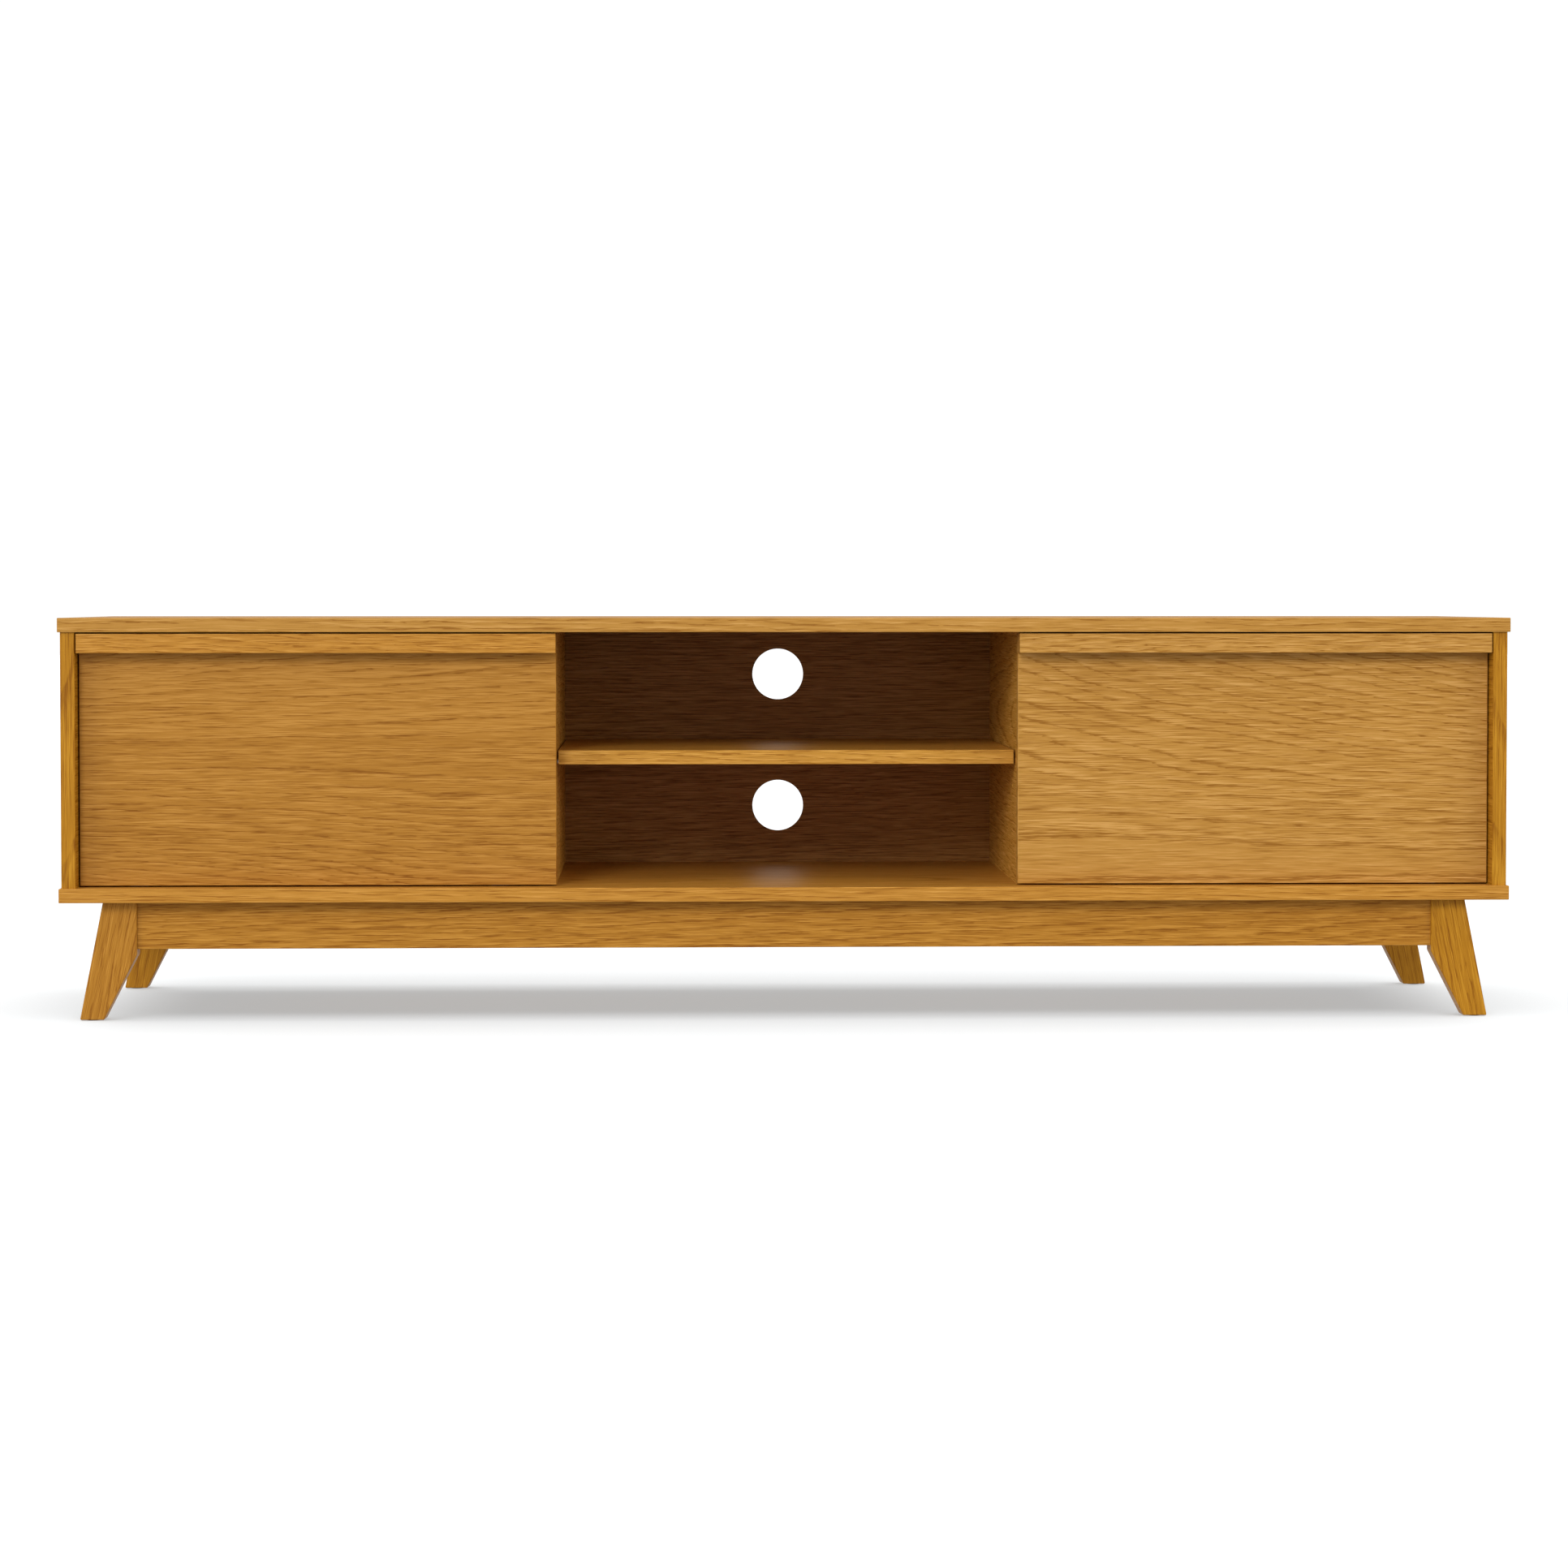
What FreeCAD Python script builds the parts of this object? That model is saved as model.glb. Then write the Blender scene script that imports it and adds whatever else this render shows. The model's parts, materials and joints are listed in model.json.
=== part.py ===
"""Low media cabinet: two drop-down flaps, an open centre bay and a splayed leg frame.

Frame of the model: millimetres, +Z up, front towards -Y, origin on the floor under
the middle of the top board.
"""
import FreeCAD
import Part
import Sketcher
import math
import os
import re

from FreeCAD import Placement, Rotation, Vector

# ---------------------------------------------------------------- driving dimensions
DIMENSIONS = {
    # whole cabinet
    "cabinet_width": 1829,
    "cabinet_depth": 457,
    "cabinet_height": 508,
    "board": 18,
    "edge_radius": 1.0,
    "end_overhang": 3,
    "front_overhang": 4,
    "back_thickness": 5,
    "back_inset": 0.4,
    "rebate": 9,
    "bay_width": 586.8,
    # leg frame
    "leg_frame_height": 150.5,
    "leg_depth": 28,
    "leg_front_inset": 24.5,
    "leg_top_outer": 863,
    "leg_foot_outer": 892.5,
    "leg_inner": 820.5,
    "leg_foot_inner": 862.5,
    "leg_knee_height": 83,
    "leg_edge_radius": 1.6,
    "leg_knee_radius": 6,
    "rail_height": 60.5,
    "rail_setback": 5,
    "side_rail_outer": 844,
    "block_height": 40,
    "block_leg": 62,
    "block_nose": 12,
    "block_screw_back": 9,
    "block_screw_spread": 0.55,
    "leg_bolt_radius": 3,
    "leg_bolt_in_leg": 24,
    "leg_bolt_end": 10,
    "leg_bolt_play": 0.3,
    "washer_radius": 6.5,
    "washer_thickness": 1.6,
    "nut_radius": 5.7,
    "nut_height": 5,
    "glide_radius": 9,
    "glide_thickness": 2.6,
    "glide_lift": 1,
    "glide_play": 0.2,
    "glide_pin_radius": 1.5,
    "glide_pin_length": 14,
    # doors and pulls
    "door_gap": 1.8,
    "door_recess": 27,
    "door_over_divider": 19.2,
    "bumper_gap": 2,
    "bumper_radius": 4,
    "bumper_thickness": 1.5,
    "bumper_from_board": 25,
    "pull_height": 24.5,
    "pull_projection": 25,
    "groove_from_front": 9,
    "groove_width": 12,
    "groove_depth": 9,
    "groove_end": 30,
    # flap hinges
    "hinge_inset": 4.2,
    "hinge_rise": 4.2,
    "hinge_pin_radius": 1.25,
    "hinge_play": 0.06,
    "hinge_from_end": 72,
    "hinge_eye_radius": 2.5,
    "arm_thickness": 3.4,
    "arm_half_height": 2,
    "arm_reach": 17,
    "arm_plate_length": 32,
    "arm_plate_width": 22,
    "arm_screw_side": 6,
    "arm_screw_near": 9,
    "arm_screw_far": 24,
    "plate": 2,
    "housing_width": 18,
    "housing_slot": 4.4,
    "housing_height": 21,
    "housing_skin": 1.3,
    "housing_play": 0.1,
    "housing_foot": 0.6,
    "flange_width": 44,
    "flange_height": 12,
    "flange_screw_inset": 6,
    # flap stays
    "stay_radius": 150,
    "stay_apex": 75,
    "stay_behind_door": 8,
    "stay_from_side": 9.5,
    "tube_radius": 5,
    "tube_bore": 3.4,
    "tube_length": 146,
    "rod_radius": 3,
    "rod_length": 172,
    "eye_thickness": 5,
    "eye_radius": 5,
    "eye_neck": 7,
    "stay_pin_radius": 2.5,
    "stay_pin_head": 4,
    "stay_pin_head_length": 1.4,
    "stay_side_play": 0.3,
    "wall_plate_size": 28,
    "wall_screw_edge": 4.5,
    "bracket_width": 28,
    "bracket_length": 24,
    "bracket_cheek_width": 14,
    "bracket_cheek_thickness": 2.5,
    "bracket_screw_side": 9,
    "bracket_screw_along": 17,
    # catches
    "catch_width": 46,
    "catch_depth": 16,
    "catch_height": 13,
    "catch_ear": 10,
    "catch_ear_width": 10,
    "catch_ear_thickness": 3,
    "strike_width": 30,
    "strike_height": 12,
    "strike_thickness": 1.2,
    "strike_screw_inset": 5,
    "strike_overlap": 2,
    "catch_air": 0.5,
    # shelves and their pins
    "shelf_above_board": 152.1,
    "shelf_end_gap": 2.5,
    "bay_shelf_setback": 43.5,
    "side_shelf_setback": 83,
    "pin_radius": 2.5,
    "pin_length": 8,
    "pin_support": 7,
    "pin_pitch": 32,
    "pin_inset": 40,
    "pin_recess": 5,
    "pin_collar_radius": 3.5,
    "pin_collar_thickness": 1.2,
    # cable holes in the centre back
    "cable_hole_radius": 35,
    "lower_hole_height": 246.8,
    "upper_hole_height": 428.2,
    # knock-down fittings
    "cam_radius": 7.5,
    "cam_depth": 12.5,
    "cam_from_end": 34,
    "cam_play": 0.1,
    "cam_socket_reach": 4,
    "cam_slot_length": 7,
    "cam_slot_width": 1.4,
    "cam_slot_depth": 2,
    "cam_bolt_radius": 3.4,
    "cam_bolt_head_length": 4.5,
    "cam_stem_radius": 2,
    "cam_thread_radius": 2.5,
    "cam_thread_length": 11,
    "dowel_radius": 4,
    "dowel_half": 15,
    "dowel_in_board": 10,
    "fitting_inset": 60,
    "dowel_beside_cam": 32,
    # screws
    "screw_radius": 1.75,
    "screw_head_radius": 3.5,
    "screw_play": 0.2,
    "screw_head_proud": 0.2,
    "screw_length": 14,
    "pull_screw_length": 34,
    "frame_screw_length": 50,
    "back_screw_length": 16,
    "back_screw_beside": 4,
}

doc = FreeCAD.newDocument("MediaCabinet")
sheet = doc.addObject("Spreadsheet::Sheet", "Dimensions")
for row, (name, size) in enumerate(DIMENSIONS.items(), start=1):
    sheet.set("A%d" % row, name)
    sheet.set("B%d" % row, str(size))
    sheet.setAlias("B%d" % row, name)
doc.recompute()

# ---------------------------------------------------------------- shared formulas
HALF_WIDTH = "cabinet_width / 2"
HALF_DEPTH = "cabinet_depth / 2"
TOP_UNDER = "(cabinet_height - board)"
BOARD_TOP = "(leg_frame_height + board)"
SIDE_OUTER = "(cabinet_width / 2 - end_overhang)"
SIDE_INNER = "(cabinet_width / 2 - end_overhang - board)"
DIVIDER_INNER = "(bay_width / 2)"
DIVIDER_OUTER = "(bay_width / 2 + board)"
BACK_REAR = "(cabinet_depth / 2 - back_inset)"
BACK_FRONT = "(cabinet_depth / 2 - back_inset - back_thickness)"
SIDE_FRONT = "(front_overhang - cabinet_depth / 2)"
DOOR_FACE = "(door_recess - cabinet_depth / 2)"
DOOR_BACK = "(door_recess + board - cabinet_depth / 2)"
DIVIDER_FRONT = "(door_recess + board + bumper_gap - cabinet_depth / 2)"
DOOR_INNER = "(bay_width / 2 + board - door_over_divider)"
DOOR_OUTER = "(cabinet_width / 2 - end_overhang - board - door_gap)"
DOOR_BOTTOM = "(leg_frame_height + board + door_gap)"
DOOR_TOP = "(cabinet_height - board - door_gap)"
SHELF_UNDER = "(leg_frame_height + board + shelf_above_board)"
LEG_FRONT = "(leg_front_inset - cabinet_depth / 2)"
LEG_REAR = "(cabinet_depth / 2 - leg_front_inset)"
RAIL_BOTTOM = "(leg_frame_height - rail_height)"
PIVOT_Y = "(door_recess + hinge_inset - cabinet_depth / 2)"
PIVOT_Z = "(leg_frame_height + board + door_gap + hinge_rise)"
STAY_X = "(cabinet_width / 2 - end_overhang - board - stay_from_side)"

SIDES = (("left", -1), ("right", 1))


def linked(formula):
    """The formula with each dimension's name pointing at its cell."""
    def swap(match):
        word = match.group()
        return "Dimensions." + word if word in DIMENSIONS else word
    return re.sub(r"[a-z][a-z0-9_]*", swap, str(formula))


def number(formula):
    """The value that a formula of dimensions has now."""
    return float(sheet.evalExpression(linked(formula)))


def bind(obj, prop, formula):
    obj.setExpression(prop, linked(formula))


def place(obj, x="0", y="0", z="0"):
    for axis, formula in zip("xyz", (x, y, z)):
        bind(obj, "Placement.Base." + axis, formula)


def from_centre(side, near, far):
    """Lower x of something that lies between near and far from the centre plane."""
    return near if side > 0 else "-(%s)" % far


def signed(side, formula):
    return formula if side > 0 else "-(%s)" % formula


# ---------------------------------------------------------------- bodies made of features
PLANES = {"x": "YZ_Plane", "y": "XZ_Plane", "z": "XY_Plane"}
NORMAL_SIGN = {"x": 1, "y": -1, "z": 1}


def new_body(label, x="0", y="0", z="0"):
    body = doc.addObject("PartDesign::Body", label)
    body.Label = label
    place(body, x, y, z)
    return body


def new_sketch(body, axis, at="0"):
    """A sketch across the axis; its own x and y run along the two other axes in order."""
    sketch = body.newObject("Sketcher::SketchObject", body.Label + "_sketch")
    plane = next(f for f in body.Origin.OriginFeatures if f.Role == PLANES[axis])
    sketch.AttachmentSupport = [(plane, "")]
    sketch.MapMode = "FlatFace"
    bind(sketch, "AttachmentOffset.Base.z", "%d * (%s)" % (NORMAL_SIGN[axis], at))
    return sketch


def constrain(sketch, formula, kind, *where):
    index = sketch.addConstraint(Sketcher.Constraint(kind, *where, number(formula)))
    bind(sketch, "Constraints[%d]" % index, formula)


def draw_outline(sketch, points):
    """A closed outline through points given as pairs of formulas."""
    ends = [Vector(number(u), number(v), 0) for u, v in points]
    first = sketch.GeometryCount
    for start, end in zip(ends, ends[1:] + ends[:1]):
        sketch.addGeometry(Part.LineSegment(start, end), False)
    for step, (u, v) in enumerate(points):
        line = first + step
        after = first + (step + 1) % len(points)
        sketch.addConstraint(Sketcher.Constraint("Coincident", line, 2, after, 1))
        constrain(sketch, u, "DistanceX", -1, 1, line, 1)
        constrain(sketch, v, "DistanceY", -1, 1, line, 1)


def draw_circle(sketch, u, v, radius):
    circle = Part.Circle(Vector(number(u), number(v), 0), Vector(0, 0, 1), number(radius))
    index = sketch.addGeometry(circle, False)
    constrain(sketch, radius, "Radius", index)
    constrain(sketch, u, "DistanceX", -1, 1, index, 3)
    constrain(sketch, v, "DistanceY", -1, 1, index, 3)


def pad(body, sketch, axis, length, towards=1):
    feature = body.newObject("PartDesign::Pad", body.Label + "_pad")
    feature.Profile = sketch
    bind(feature, "Length", length)
    feature.Reversed = towards != NORMAL_SIGN[axis]
    doc.recompute()
    return feature


def pocket(body, sketch, axis, depth, towards=1):
    before = body.Shape.Volume
    feature = body.newObject("PartDesign::Pocket", body.Label + "_pocket")
    feature.Profile = sketch
    bind(feature, "Length", depth)
    feature.Reversed = towards == NORMAL_SIGN[axis]
    doc.recompute()
    if body.Shape.Volume > before - 0.01:
        raise RuntimeError("a pocket of %s cuts nothing" % body.Label)
    return feature


def bore(body, axis, at, centres, radius, depth, towards=1):
    """Round holes of one size, from the plane at, in the given direction along the axis."""
    sketch = new_sketch(body, axis, at)
    for u, v in centres:
        draw_circle(sketch, u, v, radius)
    return pocket(body, sketch, axis, depth, towards)


def cut_box(body, axis, at, low, high, depth, towards=1):
    sketch = new_sketch(body, axis, at)
    draw_outline(sketch, [low, (high[0], low[1]), high, (low[0], high[1])])
    return pocket(body, sketch, axis, depth, towards)


def runs_along(edge, letters):
    """True for a straight edge that is parallel to one of the axes."""
    ends = [vertex.Point for vertex in edge.Vertexes]
    if len(ends) != 2:
        return False
    span = ends[1] - ends[0]
    if span.Length < 0.01 or edge.Length > span.Length + 1e-6:
        return False
    return any(abs(getattr(span, letter)) > 0.999 * span.Length for letter in letters)


def ease(body, feature, radius, wanted):
    """Round the edges of a feature that the wanted test picks."""
    names = ["Edge%d" % i for i, edge in enumerate(feature.Shape.Edges, start=1) if wanted(edge)]
    fillet = body.newObject("PartDesign::Fillet", body.Label + "_eased")
    fillet.Base = (feature, names)
    bind(fillet, "Radius", radius)
    doc.recompute()
    return fillet


def panel(label, corner, size, eased=""):
    """A board with its lower corner and size as formulas, eased along the given axes."""
    body = new_body(label, *corner)
    sketch = new_sketch(body, "z")
    width, depth, height = size
    draw_outline(sketch, [("0", "0"), (width, "0"), (width, depth), ("0", depth)])
    block = pad(body, sketch, "z", height)
    if eased:
        ease(body, block, "edge_radius", lambda edge: runs_along(edge, eased))
    return body


# ---------------------------------------------------------------- primitives and groups
def turned(direction):
    """The rotation that takes +Z to a direction."""
    return Rotation(Vector(0, 0, 1), Vector(*direction))


def cylinder(label, radius, height, at=("0", "0", "0"), direction=(0, 0, 1)):
    """A cylinder that starts at a point and runs in a direction."""
    rod = doc.addObject("Part::Cylinder", label)
    rod.Placement.Rotation = turned(direction)
    bind(rod, "Radius", radius)
    bind(rod, "Height", height)
    place(rod, *at)
    return rod


def cone(label, radius, end_radius, height, at=("0", "0", "0")):
    frustum = doc.addObject("Part::Cone", label)
    bind(frustum, "Radius1", radius)
    bind(frustum, "Radius2", end_radius)
    bind(frustum, "Height", height)
    place(frustum, *at)
    return frustum


def box(label, low, size):
    block = doc.addObject("Part::Box", label)
    for prop, formula in zip(("Length", "Width", "Height"), size):
        bind(block, prop, formula)
    place(block, *low)
    return block


def fuse(label, *shapes):
    union = doc.addObject("Part::MultiFuse", label)
    union.Shapes = list(shapes)
    return union


def cut(label, base, tool):
    rest = doc.addObject("Part::Cut", label)
    rest.Base = base
    rest.Tool = tool
    return rest


def group(label, *batches):
    """Separate copies of pieces, held as one sub-part: each batch is a piece and its places."""
    doc.recompute()
    copies = []
    for master, places in batches:
        for spot_here in places:
            copy = master.Shape.copy()
            copy.Placement = spot_here.multiply(copy.Placement)
            copies.append(copy)
    feature = doc.addObject("Part::Feature", label)
    feature.Shape = Part.makeCompound(copies)
    feature.Label = label
    feature.Placement = Placement()
    return feature


def spot(x, y, z, direction=(0, 0, 1)):
    """A place given by formulas or numbers, with +Z turned to a direction."""
    return Placement(Vector(number(x), number(y), number(z)), turned(direction))


def screw(label, length):
    """Countersunk cross-head screw: its head's face is at the origin, its shank along +Z."""
    solid = fuse(
        label + "_solid",
        cylinder(label + "_shank", "screw_radius", length),
        cone(label + "_head", "screw_head_radius", "screw_radius",
             "screw_head_radius - screw_radius"),
    )
    long_bar, short_bar = "screw_radius * 2", "screw_radius / 2"
    recess = fuse(
        label + "_recess",
        box(label + "_slot_a", ("-screw_radius", "-screw_radius / 4", "0"),
            (long_bar, short_bar, "screw_radius / 2")),
        box(label + "_slot_b", ("-screw_radius / 4", "-screw_radius", "0"),
            (short_bar, long_bar, "screw_radius / 2")),
    )
    return cut(label, solid, recess)


hardware_screw = screw("hardware_screw", "screw_length")
back_screw = screw("back_screw", "back_screw_length")
pull_screw = screw("pull_screw", "pull_screw_length")
frame_screw = screw("frame_screw", "frame_screw_length")
screw_clearance = fuse(
    "screw_clearance",
    cylinder("clearance_shank", "screw_radius + screw_play", "screw_length", ("0", "0", "-1")),
    cone("clearance_head", "screw_head_radius + screw_play / 2", "screw_radius + screw_play",
         "screw_head_radius - screw_radius"),
)

parts = []

# ---------------------------------------------------------------- carcass boards
FITTING_ROWS = ("fitting_inset", "cabinet_depth - fitting_inset")
FITTING_DOWELS = (
    "fitting_inset + dowel_beside_cam",
    "cabinet_depth - fitting_inset - dowel_beside_cam",
)
UPRIGHT_CENTRES = (
    "board / 2 + end_overhang",
    "cabinet_width / 2 - bay_width / 2 - board / 2",
    "cabinet_width / 2 + bay_width / 2 + board / 2",
    "cabinet_width - end_overhang - board / 2",
)
DOWEL_IN_UPRIGHT = "(2 * dowel_half - dowel_in_board)"
UPRIGHT_HEIGHT = "(%s - %s)" % (TOP_UNDER, BOARD_TOP)


def long_board(label, under, inner_face, outwards):
    """Top or bottom board: rebated for the backs, bored for the uprights' fittings."""
    body = panel(
        label,
        ("-" + HALF_WIDTH, "-" + HALF_DEPTH, under),
        ("cabinet_width", "cabinet_depth", "board"),
        eased="xyz",
    )
    low = ("end_overhang + board - rebate", "cabinet_depth - back_inset - back_thickness")
    high = ("cabinet_width - end_overhang - board + rebate", "cabinet_depth + 1")
    cut_box(body, "z", inner_face, low, high, "rebate", outwards)
    bolts = [(x, y) for x in UPRIGHT_CENTRES for y in FITTING_ROWS]
    dowels = [(x, y) for x in UPRIGHT_CENTRES for y in FITTING_DOWELS]
    bore(body, "z", inner_face, bolts, "cam_thread_radius", "cam_thread_length", outwards)
    bore(body, "z", inner_face, dowels, "dowel_radius", "dowel_in_board", outwards)
    return body


PIN_ABOVE_UNDER = "(pin_recess - pin_radius)"


def pin_centres(front, shelf_front):
    """Bores for shelf pins: three levels near a shelf's front and rear edges."""
    rows = ("%s - %s + pin_inset" % (shelf_front, front),
            "%s - %s - pin_inset" % (BACK_FRONT, front))
    levels = ["shelf_above_board + %s + pin_pitch * (%d)" % (PIN_ABOVE_UNDER, step)
              for step in (-1, 0, 1)]
    return [(row, level) for row in rows for level in levels]


def upright(label, side, near, far, front, rear, cams_face, pins):
    """Side panel or divider. Faces are +1 away from the cabinet's middle and -1 towards it."""
    length = "(%s - %s)" % (rear, front)
    body = panel(
        label,
        (from_centre(side, near, far), front, BOARD_TOP),
        ("board", length, UPRIGHT_HEIGHT),
        eased="z",
    )

    def face(outward):
        return ("board", -1) if outward * side > 0 else ("0", 1)

    rows = ["%s - %s - %s" % (row, HALF_DEPTH, front) for row in FITTING_ROWS]
    dowel_rows = ["%s - %s - %s" % (row, HALF_DEPTH, front) for row in FITTING_DOWELS]
    cam_levels = ("cam_from_end", UPRIGHT_HEIGHT + " - cam_from_end")
    at, inwards = face(cams_face)
    cams = [(row, level) for row in rows for level in cam_levels]
    bore(body, "x", at, cams, "cam_radius", "cam_depth", inwards)
    for level, inwards in (("0", 1), (UPRIGHT_HEIGHT, -1)):
        bolts = [("board / 2", row) for row in rows]
        dowels = [("board / 2", row) for row in dowel_rows]
        bore(body, "z", level, bolts, "cam_bolt_radius", "cam_from_end", inwards)
        bore(body, "z", level, dowels, "dowel_radius", DOWEL_IN_UPRIGHT, inwards)
    for pins_face, shelf_front in pins:
        at, inwards = face(pins_face)
        centres = pin_centres(front, shelf_front)
        bore(body, "x", at, centres, "pin_radius", "pin_length", inwards)
    return body


parts.append(long_board("top_panel", TOP_UNDER, "0", 1))
parts.append(long_board("bottom_panel", "leg_frame_height", "board", -1))

BAY_SHELF_FRONT = "(%s + bay_shelf_setback)" % DOOR_FACE
SIDE_SHELF_FRONT = "(%s + side_shelf_setback)" % DOOR_FACE
for side_name, side in SIDES:
    side_panel = upright(
        side_name + "_side_panel", side, SIDE_INNER, SIDE_OUTER, SIDE_FRONT, HALF_DEPTH,
        -1, [(-1, SIDE_SHELF_FRONT)],
    )
    low_x, high_x = ("0", "rebate") if side > 0 else ("board - rebate", "board")
    low = (low_x, "%s - %s" % (BACK_FRONT, SIDE_FRONT))
    high = (high_x, "cabinet_depth - front_overhang + 1")
    cut_box(side_panel, "z", "0", low, high, UPRIGHT_HEIGHT, 1)
    parts.append(side_panel)
    parts.append(upright(
        side_name + "_divider", side, DIVIDER_INNER, DIVIDER_OUTER, DIVIDER_FRONT, BACK_FRONT,
        1, [(1, SIDE_SHELF_FRONT), (-1, BAY_SHELF_FRONT)],
    ))

# ---------------------------------------------------------------- back panels
BACK_BOTTOM = "(%s - rebate)" % BOARD_TOP
BACK_HEIGHT = "(%s + 2 * rebate)" % UPRIGHT_HEIGHT
DIVIDER_MIDDLE = "(bay_width / 2 + board / 2)"
BACK_OUTER = "(%s + rebate)" % SIDE_INNER

centre_back = panel(
    "centre_back_panel",
    ("-" + DIVIDER_MIDDLE, BACK_FRONT, BACK_BOTTOM),
    ("bay_width + board", "back_thickness", BACK_HEIGHT),
)
cable_holes = [
    (DIVIDER_MIDDLE, "%s - %s" % (height, BACK_BOTTOM))
    for height in ("lower_hole_height", "upper_hole_height")
]
bore(centre_back, "y", "0", cable_holes, "cable_hole_radius", "back_thickness", 1)
parts.append(centre_back)
for side_name, side in SIDES:
    parts.append(panel(
        side_name + "_back_panel",
        (from_centre(side, DIVIDER_MIDDLE, BACK_OUTER), BACK_FRONT, BACK_BOTTOM),
        ("%s - %s" % (BACK_OUTER, DIVIDER_MIDDLE), "back_thickness", BACK_HEIGHT),
    ))

# ---------------------------------------------------------------- shelves and pins
SHELF_CELLS = (
    ("centre", "-" + DIVIDER_INNER, DIVIDER_INNER, BAY_SHELF_FRONT),
    ("left", "-" + SIDE_INNER, "-" + DIVIDER_OUTER, SIDE_SHELF_FRONT),
    ("right", DIVIDER_OUTER, SIDE_INNER, SIDE_SHELF_FRONT),
)
shelf_pin = fuse(
    "shelf_pin",
    cylinder("pin_shank", "pin_radius", "pin_length + pin_support"),
    cylinder("pin_collar", "pin_collar_radius", "pin_collar_thickness", ("0", "0", "pin_length")),
)


def seat_on_pins(shelf, width, length):
    """Round-topped grooves under the shelf's ends, which drop over the pins and hide them."""
    groove = "pin_support - shelf_end_gap"
    rows = ("pin_inset", "%s - pin_inset" % length)
    centres = [(row, PIN_ABOVE_UNDER) for row in rows]
    bore(shelf, "x", "0", centres, "pin_radius", groove, 1)
    bore(shelf, "x", width, centres, "pin_radius", groove, -1)
    for near, far in (("0", groove), ("%s - (%s)" % (width, groove), width)):
        for row in rows:
            low = (near, row + " - pin_radius")
            high = (far, row + " + pin_radius")
            cut_box(shelf, "z", "0", low, high, PIN_ABOVE_UNDER, 1)


for cell_name, low, high, front in SHELF_CELLS:
    shelf_width = "%s - (%s) - 2 * shelf_end_gap" % (high, low)
    shelf_length = "%s - %s" % (BACK_FRONT, front)
    shelf = panel(
        cell_name + "_shelf",
        (low + " + shelf_end_gap", front, SHELF_UNDER),
        (shelf_width, shelf_length, "board"),
        eased="x",
    )
    seat_on_pins(shelf, shelf_width, shelf_length)
    parts.append(shelf)
    pin_level = "%s + %s" % (SHELF_UNDER, PIN_ABOVE_UNDER)
    pins = []
    for row in (front + " + pin_inset", BACK_FRONT + " - pin_inset"):
        pins.append(spot(low + " - pin_length", row, pin_level, (1, 0, 0)))
        pins.append(spot(high + " + pin_length", row, pin_level, (-1, 0, 0)))
    parts.append(group(cell_name + "_shelf_pins", (shelf_pin, pins)))

# ---------------------------------------------------------------- leg frame
RAIL_LEVELS = ("rail_height / 4", "rail_height * 3 / 4")
FRONT_RAIL = "(%s + rail_setback)" % LEG_FRONT
REAR_RAIL = "(%s - rail_setback - board)" % LEG_REAR
SIDE_RAIL_INNER = "(side_rail_outer - board)"
CROSS_LENGTH = "(%s - %s - board)" % (REAR_RAIL, FRONT_RAIL)


def leg(label, side, front, rail_y, inner_face, inwards):
    """Splayed leg: slanted outer edge, upright inner edge down to the knee, slanted foot."""
    body = new_body(label, signed(side, "leg_inner"), front, "0")
    outline = [
        ("0", "leg_frame_height"),
        ("leg_top_outer - leg_inner", "leg_frame_height"),
        ("leg_foot_outer - leg_inner", "glide_lift"),
        ("leg_foot_inner - leg_inner", "glide_lift"),
        ("0", "leg_knee_height"),
    ]
    sketch = new_sketch(body, "y")
    draw_outline(sketch, [(signed(side, u), v) for u, v in outline])
    block = pad(body, sketch, "y", "leg_depth")
    knee = number("leg_knee_height")
    top = number("leg_frame_height")
    block = ease(body, block, "leg_knee_radius", lambda edge: all(
        abs(end.Z - knee) < 1 and abs(end.X) < 1 for end in edge.Vertexes))
    ease(body, block, "leg_edge_radius", lambda edge: (
        min(end.Z for end in edge.Vertexes) < top - 1
        and not (runs_along(edge, "y") and edge.Vertexes[0].Z > knee / 2)))
    levels = ["%s + %s" % (RAIL_BOTTOM, level) for level in RAIL_LEVELS]
    rail_middle = "(%s - %s + board / 2)" % (rail_y, front)
    bore(body, "x", "0", [(rail_middle, level) for level in levels],
         "dowel_radius", "dowel_in_board", side)
    side_middle = signed(side, "(side_rail_outer - board / 2 - leg_inner)")
    bore(body, "y", inner_face, [(side_middle, level) for level in levels],
         "dowel_radius", "dowel_in_board", inwards)
    glide_x = signed(side, "(leg_foot_outer + leg_foot_inner) / 2 - leg_inner")
    bore(body, "z", "0", [(glide_x, "leg_depth / 2")],
         "glide_radius + glide_play", "glide_thickness", 1)
    return body


def rail(label, corner, size, along):
    """Rail of the leg frame with two dowel bores in each end."""
    body = panel(label, corner, size, eased=along)
    length = size["xyz".index(along)]
    centres = [("board / 2", level) for level in RAIL_LEVELS]
    for at, inwards in (("0", 1), (length, -1)):
        bore(body, along, at, centres, "dowel_radius", DOWEL_IN_UPRIGHT, inwards)
    return body


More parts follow.
